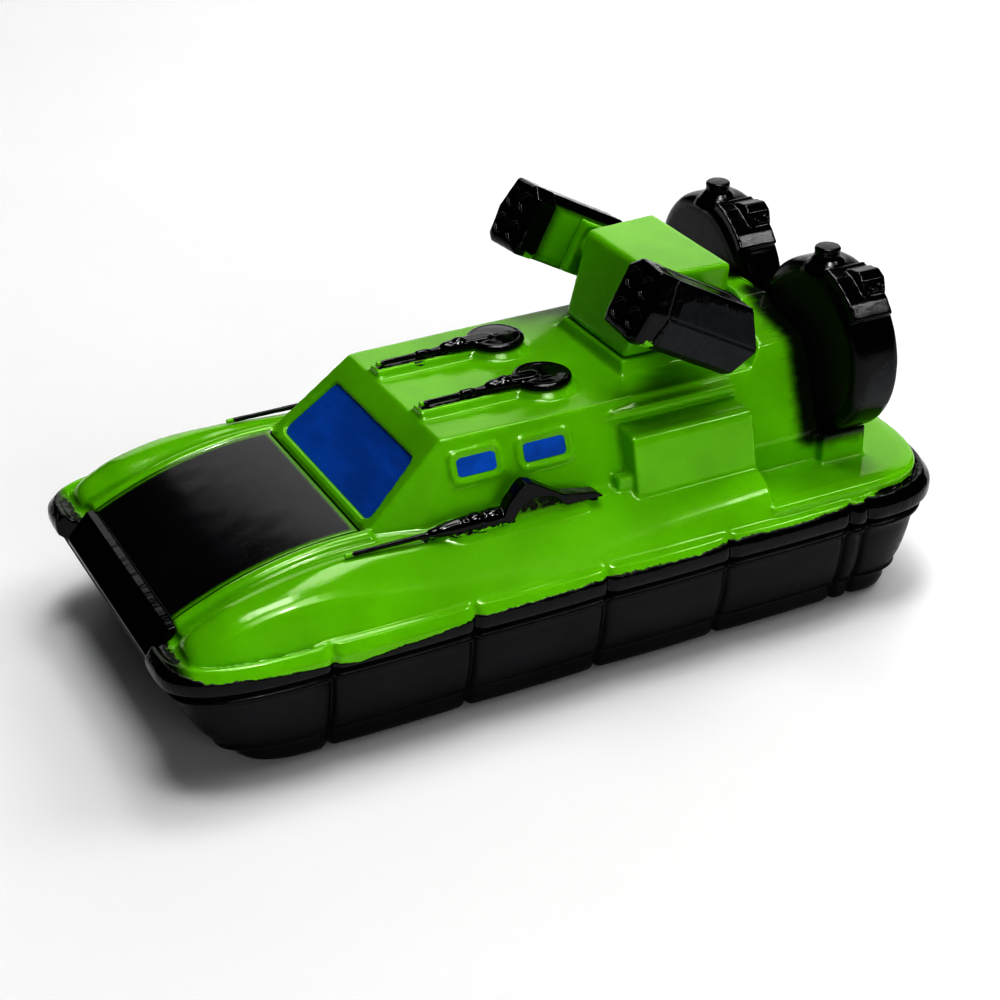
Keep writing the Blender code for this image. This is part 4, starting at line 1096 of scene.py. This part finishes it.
class HOVER_OT_moulding(bpy.types.Operator):
    """Make the green moulding: rim, sponsons, decks, cabin and the forms on it, fused into one skin"""

    bl_idname = "hover.moulding"
    bl_label = "Green moulding"

    def execute(self, context):
        sizes = context.scene.hover_sizes
        recipe = (sizes.voxel / MM, sizes.melt, MOST_MOULDING_TRIANGLES)
        piece = melted("green_moulding", moulding_shapes(), recipe, paint=paint_reach, mist=paint_mist)
        nodes = list(MOULDING_NODES)
        for side in SIDES:
            nodes += [name + "_" + side for name in MOULDING_SIDE_NODES]
        green = material("lime_plastic_painted", lime_plastic, True)
        finish_piece(piece, green, "hull", "green_plastic", *nodes)
        return {"FINISHED"}


class HOVER_OT_skirt(bpy.types.Operator):
    """Make the pleated skirt and finish the base plate"""

    bl_idname = "hover.skirt"
    bl_label = "Skirt"

    def execute(self, context):
        rings = [plan_ring(level, PANEL_BULGE) for level in SKIRT_RINGS]
        rings += [plan_ring(level) for level in SKIRT_HOLLOW]
        black = material("dark_skirt_plastic", skirt_black)
        piece = add_object("pleated_skirt", make_mesh("pleated_skirt", [skin(rings, closed=True)]))
        finish_piece(piece, black, "hull", "skirt_black", "skirt")
        dress("base_plate", black, BASE_PLATE_SOFTNESS)
        return {"FINISHED"}


def dress(node, finish, soft):
    """Give a node that stays its material, and soft edges."""
    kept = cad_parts[node]
    kept.data.materials.clear()
    kept.data.materials.append(finish)
    bevel = kept.modifiers.new("soft edges", "BEVEL")
    bevel.width = soft * MM
    bevel.segments = 3
    bevel.limit_method = "ANGLE"
    bevel.angle_limit = math.radians(25)


class HOVER_OT_hatch(bpy.types.Operator):
    """Make the painted hatch and the bow's black face"""

    bl_idname = "hover.hatch"
    bl_label = "Hatch and bow face"

    def execute(self, context):
        half = HATCH_HALF_WIDTH
        section = [(-half, -0.40), (-half, -0.03)] + [(-half + inset, 0.0) for inset in (0.03, 0.2, 0.45)]
        section += [(y, 0.02 * (1 - (y / half) ** 2)) for y in np.linspace(-half + 0.8, half - 0.8, 31)]
        section += [(-y, z) for y, z in section[4::-1]]
        places = [12.02, 12.15, 12.3, 12.45, *np.linspace(CROWN_X, FOREDECK_FRONT, 44)]
        rings = [[(x, y, crown(x) + z) for y, z in section] for x in places]
        piece = add_object("hatch_cover", make_mesh("hatch_cover", [skin(rings)]))
        mark(piece, "edge", lambda x, y, z: min(half - abs(y), x - HATCH_BACK, 0.5))
        black = material("sprayed_satin_black_fading", satin_black, True)
        finish_piece(piece, black, "hull", "satin_black", "bow_hatch")

        places = [y * (BOW_HALF_WIDTH - 0.02) for y in np.linspace(-1, 1, 5)]
        face = skin([[(x, y, z) for x, z in BOW_SECTION] for y in places])
        black = material("brushed_gloss_black", gloss_black, False)
        finish_piece(melted("bow_panel", [face], MELTS["bow"]), black, "hull", "gloss_black", "bow_face")
        return {"FINISHED"}


class HOVER_OT_windows(bpy.types.Operator):
    """Make the windscreen's and the side windows' painted panes"""

    bl_idname = "hover.windows"
    bl_label = "Windows"

    def execute(self, context):
        blue = material("window_blue_paint", window_blue)
        grown = [(u * WINDSCREEN_PANE_GROWTH, v * WINDSCREEN_PANE_GROWTH) for u, v in WINDSCREEN]
        shape = plate(rounded(grown, WINDSCREEN_PANE_RADIUS), windscreen_frame(), *WINDSCREEN_PANE)
        piece = melted("windscreen_pane", [shape], MELTS["windscreen"])
        finish_piece(piece, blue, "hull", "blue_paint", "windscreen")
        for side, sign in SIDES.items():
            for number, window in enumerate(SIDE_WINDOWS, 1):
                name = "side_window_%s_%d" % (side, number)
                shape = window_plate(sign, window, WINDOW_PANE)
                piece = melted(name.replace("window", "pane"), [shape], MELTS["side window"])
                finish_piece(piece, blue, "hull", "blue_paint", name)
        return {"FINISHED"}


def roof_gun_bare(x, y, z):
    """Above zero at the barrel's tip and along its underside."""
    under = 15.20 - z if x > 0.6 else -1.0
    return max(x - 6.05, under)


def side_gun_bare(x, y, z):
    """Above zero at the barrel's tip and along the foot of the gun."""
    return max(x - 13.35, min(10.44 - z, 9.0 - x))


class HOVER_OT_guns(bpy.types.Operator):
    """Make the roof guns and the side guns"""

    bl_idname = "hover.guns"
    bl_label = "Guns"

    def execute(self, context):
        black = material("brushed_gloss_black_worn", gloss_black, True)
        for side, sign in SIDES.items():
            y = sign * ROOF_GUN_Y
            name = "roof_gun_" + side
            front, back = (Vector((x, y, BREECH_FOOT)) for x in BREECH_X)
            shapes = [
                mesh_shape(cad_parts[name].data),
                turned(ROOF_GUN_DISC, Matrix.Translation((ROOF_GUN_DISC_X, y, 0))),
                capsule(front, back, BREECH_RADII, BREECH_HEIGHT),
            ]
            shapes += [blob((x, y, z), (radius * 1.3, radius, radius)) for x, z, radius in ROOF_GUN_BEADS]
            piece = melted("roof_cannon_" + side, shapes, MELTS["roof gun"], bare=roof_gun_bare)
            finish_piece(piece, black, "hull", "gloss_black", name)

            name = "side_gun_" + side
            shapes = [mesh_shape(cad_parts[name].data)]
            for x, out, z, length, radius in SIDE_GUN_LUMPS:
                shapes.append(blob((x, sign * out, z), (length, radius, radius)))
            piece = melted("side_cannon_" + side, shapes, MELTS["side gun"], bare=side_gun_bare)
            finish_piece(piece, black, "hull", "gloss_black", name)
        return {"FINISHED"}


def pod_frame():
    """Frame of the pods: along their barrels, to port, and up, from the shaft's middle."""
    return Matrix.Translation((SHAFT_X, 0, SHAFT_Z)) @ Matrix.Rotation(-math.radians(POD_PITCH), 4, "Y")


def pod_place(along, across, up):
    """A point of the pods' frame, as (x, y, z)."""
    return tuple(pod_frame() @ Vector((along, across, up)))


def pod_ring(sign, places, grow=0.0):
    """The pods' cross-section, each corner at its own place along the barrels."""
    middle = Vector(POD_MIDDLE)
    ring = []
    for along, corner in zip(places, POD_CORNERS):
        arm = Vector(corner) - middle
        out, up = middle + arm * (1 + grow / arm.length)
        ring.append(pod_place(along, sign * (POD_INNER + out), up))
    return ring


def pod_plate(sign, outline, lift):
    """A raised plate on a pod's outer side, drawn as (along, up)."""
    rings = []
    for rise in (-0.5, lift):
        ring = []
        for along, up in outline:
            out = np.interp(up, POD_SIDE_UP, POD_SIDE_OUT) + rise
            ring.append(pod_place(along, sign * (POD_INNER + out), up))
        rings.append(ring)
    return skin(rings)


def pod_rule(sign, rule):
    """A rule on (along, outward, up) from a pod's inner face, made one on (x, y, z)."""
    back = pod_frame().inverted()

    def placed(x, y, z):
        along, across, up = back @ Vector((x, y, z))
        return rule(along, sign * across - POD_INNER, up)
    return placed


def pod_gloss(along, out, up):
    """Above zero where the brush left thick paint."""
    if out < 0.8 or up > 1.9:
        return 1.0
    if up < -0.14:
        return along - 3.45 - 0.25 * up
    if along > 2.62:
        return 1.0
    edges, ups = zip(*POD_GLOSS_EDGE)
    return up - np.interp(along, edges, ups)


def pod_bare(along, out, up):
    """Above zero where the inner face was left green."""
    return max(-1.0, min(1.0, (2.95 - along) * 0.9, (1.45 - up) * 2.5, (up + 1.95) * 3.0, (0.30 - out) * 4.0))


def muzzle_bare(along, out, up):
    """Above zero where the underside was left green."""
    return min(-1.72 - up, 3.9 - along)


def boss_shape(sign):
    """The square boss that carries a pod at the shaft's end."""
    rings = []
    for out, soft in BOSS_RINGS:
        low = [value + soft for value in BOSS_LOW]
        high = [value - soft for value in BOSS_HIGH]
        corners = [(low[0], low[1]), (high[0], low[1]), (high[0], high[1]), (low[0], high[1])]
        rings.append([pod_place(along, sign * out, up) for along, up in corners])
    return skin(rings)


class HOVER_OT_launcher(bpy.types.Operator):
    """Make the turret block, its shaft, pods and muzzles"""

    bl_idname = "hover.launcher"
    bl_label = "Launcher turret"

    def execute(self, context):
        green = material("lime_plastic_plain", lime_plastic, False)
        piece = melted("turret_housing", [mesh_shape(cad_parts["turret_block"].data)], MELTS["turret"])
        finish_piece(piece, green, "turret", "green_plastic", "turret_block")
        axle = frame_at((SHAFT_X, 0, SHAFT_Z), (0, 0, 1), (1, 0, 0))
        profile = [(radius, -height) for radius, height in reversed(SHAFT_PROFILE)] + list(SHAFT_PROFILE)
        shapes = [turned(profile, axle)] + [boss_shape(sign) for sign in SIDES.values()]
        piece = melted("launcher_axle", shapes, MELTS["shaft"])
        finish_piece(piece, green, "launcher", "green_plastic", "launcher_shaft")
        for side, sign in SIDES.items():
            groove = []
            for up in POD_GROOVE_UP:
                groove.append([pod_place(along, sign * (POD_INNER + out), up) for along, out in POD_GROOVE])
            body = skin([pod_ring(sign, POD_REAR), pod_ring(sign, [POD_FRONT] * len(POD_CORNERS))])
            shapes = [
                cut_away("pod_body", body, skin(groove)), pod_plate(sign, POD_LOWER_PLATE, POD_LOWER_LIFT),
                pod_plate(sign, POD_UPPER_PLATE, POD_UPPER_LIFT),
            ]
            rules = {"gloss": pod_rule(sign, pod_gloss), "bare": pod_rule(sign, pod_bare)}
            piece = melted("rocket_pod_" + side, shapes, MELTS["pod"], **rules)
            black = material("pod_black", pod_black)
            finish_piece(piece, black, "launcher", "satin_black", "launcher_pod_" + side)

            rings = [pod_ring(sign, [along] * len(POD_CORNERS), grow) for along, grow in MUZZLE_RINGS]
            tubes = []
            for out, up in TUBES:
                ends = [pod_place(along, sign * (POD_INNER + out), up) for along in TUBE_ENDS]
                tubes.append(cylinder_shape(*ends, TUBE_RADIUS))
            shape = cut_away("muzzle", skin(rings), *tubes)
            rule = pod_rule(sign, muzzle_bare)
            piece = melted("rocket_muzzle_" + side, [shape], MELTS["muzzle"], bare=rule)
            black = material("brushed_gloss_black_worn", gloss_black, True)
            finish_piece(piece, black, "launcher", "gloss_black", "launcher_muzzle_" + side)
        return {"FINISHED"}


def arc_outline(table, y):
    """Corners given as angle and radius round a fan's axis, as (y, z)."""
    turns = [(math.radians(angle), radius) for angle, radius in table]
    return [(y + radius * math.cos(turn), FAN_Z + radius * math.sin(turn)) for turn, radius in turns]


def drum_gloss_and_sheen(y):
    """Below zero on the flat front, and on a lighter patch low on the port side that is a painted reflection
    of the floor.
    """
    def rule(x, across, z):
        out, up = across - y, z - FAN_Z
        radius = math.hypot(out, up)
        if x > DRUM_FRONT - 0.2 and radius < 4.5:
            return -0.5
        # Painted reflection: a lighter, rougher patch low on the port side, towards the back
        if radius > 5.2 and out > 0:
            angle = math.degrees(math.atan2(up, out))
            return 0.4 - min((angle + 30) / 12, (8 - 6 * (x + 19.2) - angle) / 12, (-18.2 - x) * 2, 0.8)
        return 1.0
    return rule


def blade_shape(y, sign, turn):
    """One twisted blade of a rotor."""
    rings = []
    for step in range(9):
        share = step / 8
        reach = 0.8 + (ROTOR_RADIUS - 0.8) * share
        pitch = sign * math.radians(BLADE_PITCH + 14 * (0.5 - share))
        chord = BLADE_WIDTH * (0.78 + 0.34 * math.sin(math.pi * (0.15 + 0.7 * share)))
        ring = []
        for a in ring_angles(16):
            along, thick = chord / 2 * math.cos(a), BLADE_THICKNESS / 2 * (1 - 0.4 * share) * math.sin(a)
            spot = Vector((
                along * math.sin(pitch) + thick * math.cos(pitch),
                along * math.cos(pitch) - thick * math.sin(pitch), reach,
            ))
            spot = Matrix.Rotation(turn, 3, "X") @ spot
            ring.append(tuple(spot + Vector((ROTOR_X, y, FAN_Z))))
        rings.append(ring)
    return skin(rings)


class HOVER_OT_fans(bpy.types.Operator):
    """Make the fan drums and their rotors"""

    bl_idname = "hover.fans"
    bl_label = "Fans"

    def execute(self, context):
        for side, sign in SIDES.items():
            y = sign * FAN_Y
            shapes = [
                turned(DRUM_PROFILE, frame_at((DRUM_FRONT, y, FAN_Z), (0, 0, 1), (0, 1, 0)), 120),
                turned(KNOB_PROFILE, Matrix.Translation((KNOB_X, y, FAN_Z)), 40),
                extrude(arc_outline(PAD_CORNERS, y), "X", *PAD_X),
                extrude(arc_outline(LUMP_CORNERS, y), "X", *LUMP_X),
            ]
            for x, angle, size in LUMP_BEADS:
                ((across, z),) = arc_outline([(angle, LUMP_BEAD_REACH)], y)
                shapes.append(blob((x, across, z), (size, size, size)))
            # The gloss rule also lays a painted reflection low on each drum's port side
            rules = {"gloss": drum_gloss_and_sheen(y), "bare": lambda x, across, z: -1.0}
            piece = melted("fan_shroud_" + side, shapes, MELTS["drum"], **rules)
            finish_piece(piece, material("pod_black", pod_black), "hull", "gloss_black", "fan_drum_" + side)

            name = "fan_rotor_" + side
            shapes = [turned(HUB_PROFILE, frame_at((ROTOR_X, y, FAN_Z), (0, 0, 1), (0, 1, 0)), 48)]
            shapes += [blade_shape(y, sign, angle) for angle in ring_angles(ROTOR_BLADES)]
            black = material("sprayed_satin_black", satin_black, False)
            piece = melted("fan_wheel_" + side, shapes, MELTS["rotor"])
            finish_piece(piece, black, name, "satin_black", name)
        return {"FINISHED"}


def area_lamp(name, place, width, height, watts):
    """A lamp with a flat face that looks down."""
    light = bpy.data.lights.new(name, "AREA")
    light.shape = "RECTANGLE"
    light.size = width
    light.size_y = height
    light.energy = watts
    lamp = bpy.data.objects.new(name, light)
    lamp.location = place
    bpy.context.scene.collection.objects.link(lamp)
    return lamp


def aimed(turn, rise):
    """Unit vector towards a direction and a height in degrees."""
    turn, rise = math.radians(turn), math.radians(rise)
    return Vector((math.cos(rise) * math.cos(turn), math.cos(rise) * math.sin(turn), math.sin(rise)))


class HOVER_OT_stage(bpy.types.Operator):
    """Set the pale floor, the lights and the camera"""

    bl_idname = "hover.stage"
    bl_label = "Floor, lights and camera"

    def execute(self, context):
        scene = context.scene
        half = FLOOR_HALF
        corners = [(-half, -half, 0), (half, -half, 0), (half, half, 0), (-half, half, 0)]
        floor = add_object("table_top", make_mesh("table_top", [(corners, [(0, 1, 2, 3)])]))
        floor.data.materials.append(material("pale_table", pale_table))

        world = bpy.data.worlds.new("soft_room")
        scene.world = world
        world.use_nodes = True
        back = world.node_tree.nodes["Background"]
        back.inputs["Color"].default_value = ROOM_COLOUR
        back.inputs["Strength"].default_value = ROOM_STRENGTH

        for name, turn, rise, width, height, watts, shows in STAGE_LIGHTS:
            aim = aimed(turn, rise)
            lamp = area_lamp(name, aim * LIGHT_REACH + Vector(LIGHT_AIM), width, height, watts)
            lamp.visible_glossy = shows != "surface"
            lamp.visible_diffuse = shows != "gloss"
            lamp.rotation_mode = "QUATERNION"
            lamp.rotation_quaternion = (-aim).to_track_quat("-Z", "Y")
        for place in FAR_PLACES:
            area_lamp("far_floor", place, FAR_SIZE, FAR_SIZE, FAR_WATTS).visible_glossy = False

        camera = bpy.data.cameras.new("camera")
        camera.lens = CAMERA_LENS
        camera.sensor_width = 36.0
        camera.clip_start = 0.005
        camera.clip_end = 20.0
        viewer = bpy.data.objects.new("camera", camera)
        scene.collection.objects.link(viewer)
        yaw, dip, roll = CAMERA_TURN
        roll = math.radians(roll)
        look = aimed(yaw, -dip)
        right = look.cross(Vector((0, 0, 1))).normalized()
        up = right.cross(look)
        across = right * math.cos(roll) + up * math.sin(roll)
        above = up * math.cos(roll) - right * math.sin(roll)
        turn = Matrix((across, above, -look)).transposed()
        viewer.matrix_world = Matrix.Translation(Vector(CAMERA_PLACE) * MM) @ turn.to_4x4()
        scene.camera = viewer
        scene.view_settings.view_transform = "Standard"
        scene.view_settings.look = "Very High Contrast"
        return {"FINISHED"}


class HOVER_PT_panel(bpy.types.Panel):
    """The toy's pieces and their settings"""

    bl_idname = "HOVER_PT_panel"
    bl_label = "Toy hovercraft"
    bl_space_type = "VIEW_3D"
    bl_region_type = "UI"
    bl_category = "Hovercraft"

    def draw(self, context):
        layout = self.layout
        for group in (context.scene.hover_finishes, context.scene.hover_sizes):
            for name in group.__annotations__:
                layout.prop(group, name)
        for operator in OPERATORS:
            layout.operator(operator.bl_idname)


OPERATORS = (
    HOVER_OT_stage, HOVER_OT_moulding, HOVER_OT_skirt, HOVER_OT_hatch, HOVER_OT_windows, HOVER_OT_guns,
    HOVER_OT_launcher, HOVER_OT_fans,
)
CLASSES = (HoverFinishes, HoverSizes, *OPERATORS, HOVER_PT_panel)


def register():
    """Register the classes, and hang the settings on the scene."""
    for kind in CLASSES:
        bpy.utils.register_class(kind)
    bpy.types.Scene.hover_finishes = PointerProperty(type=HoverFinishes)
    bpy.types.Scene.hover_sizes = PointerProperty(type=HoverSizes)


def unregister():
    """Take the settings and the classes away again."""
    del bpy.types.Scene.hover_sizes
    del bpy.types.Scene.hover_finishes
    for kind in reversed(CLASSES):
        bpy.utils.unregister_class(kind)


def main():
    """Make the stage and every piece."""
    register()
    bpy.ops.hover.stage()
    bpy.ops.hover.moulding()
    bpy.ops.hover.skirt()
    bpy.ops.hover.hatch()
    bpy.ops.hover.windows()
    bpy.ops.hover.guns()
    bpy.ops.hover.launcher()
    bpy.ops.hover.fans()


if __name__ == "__main__":
    main()
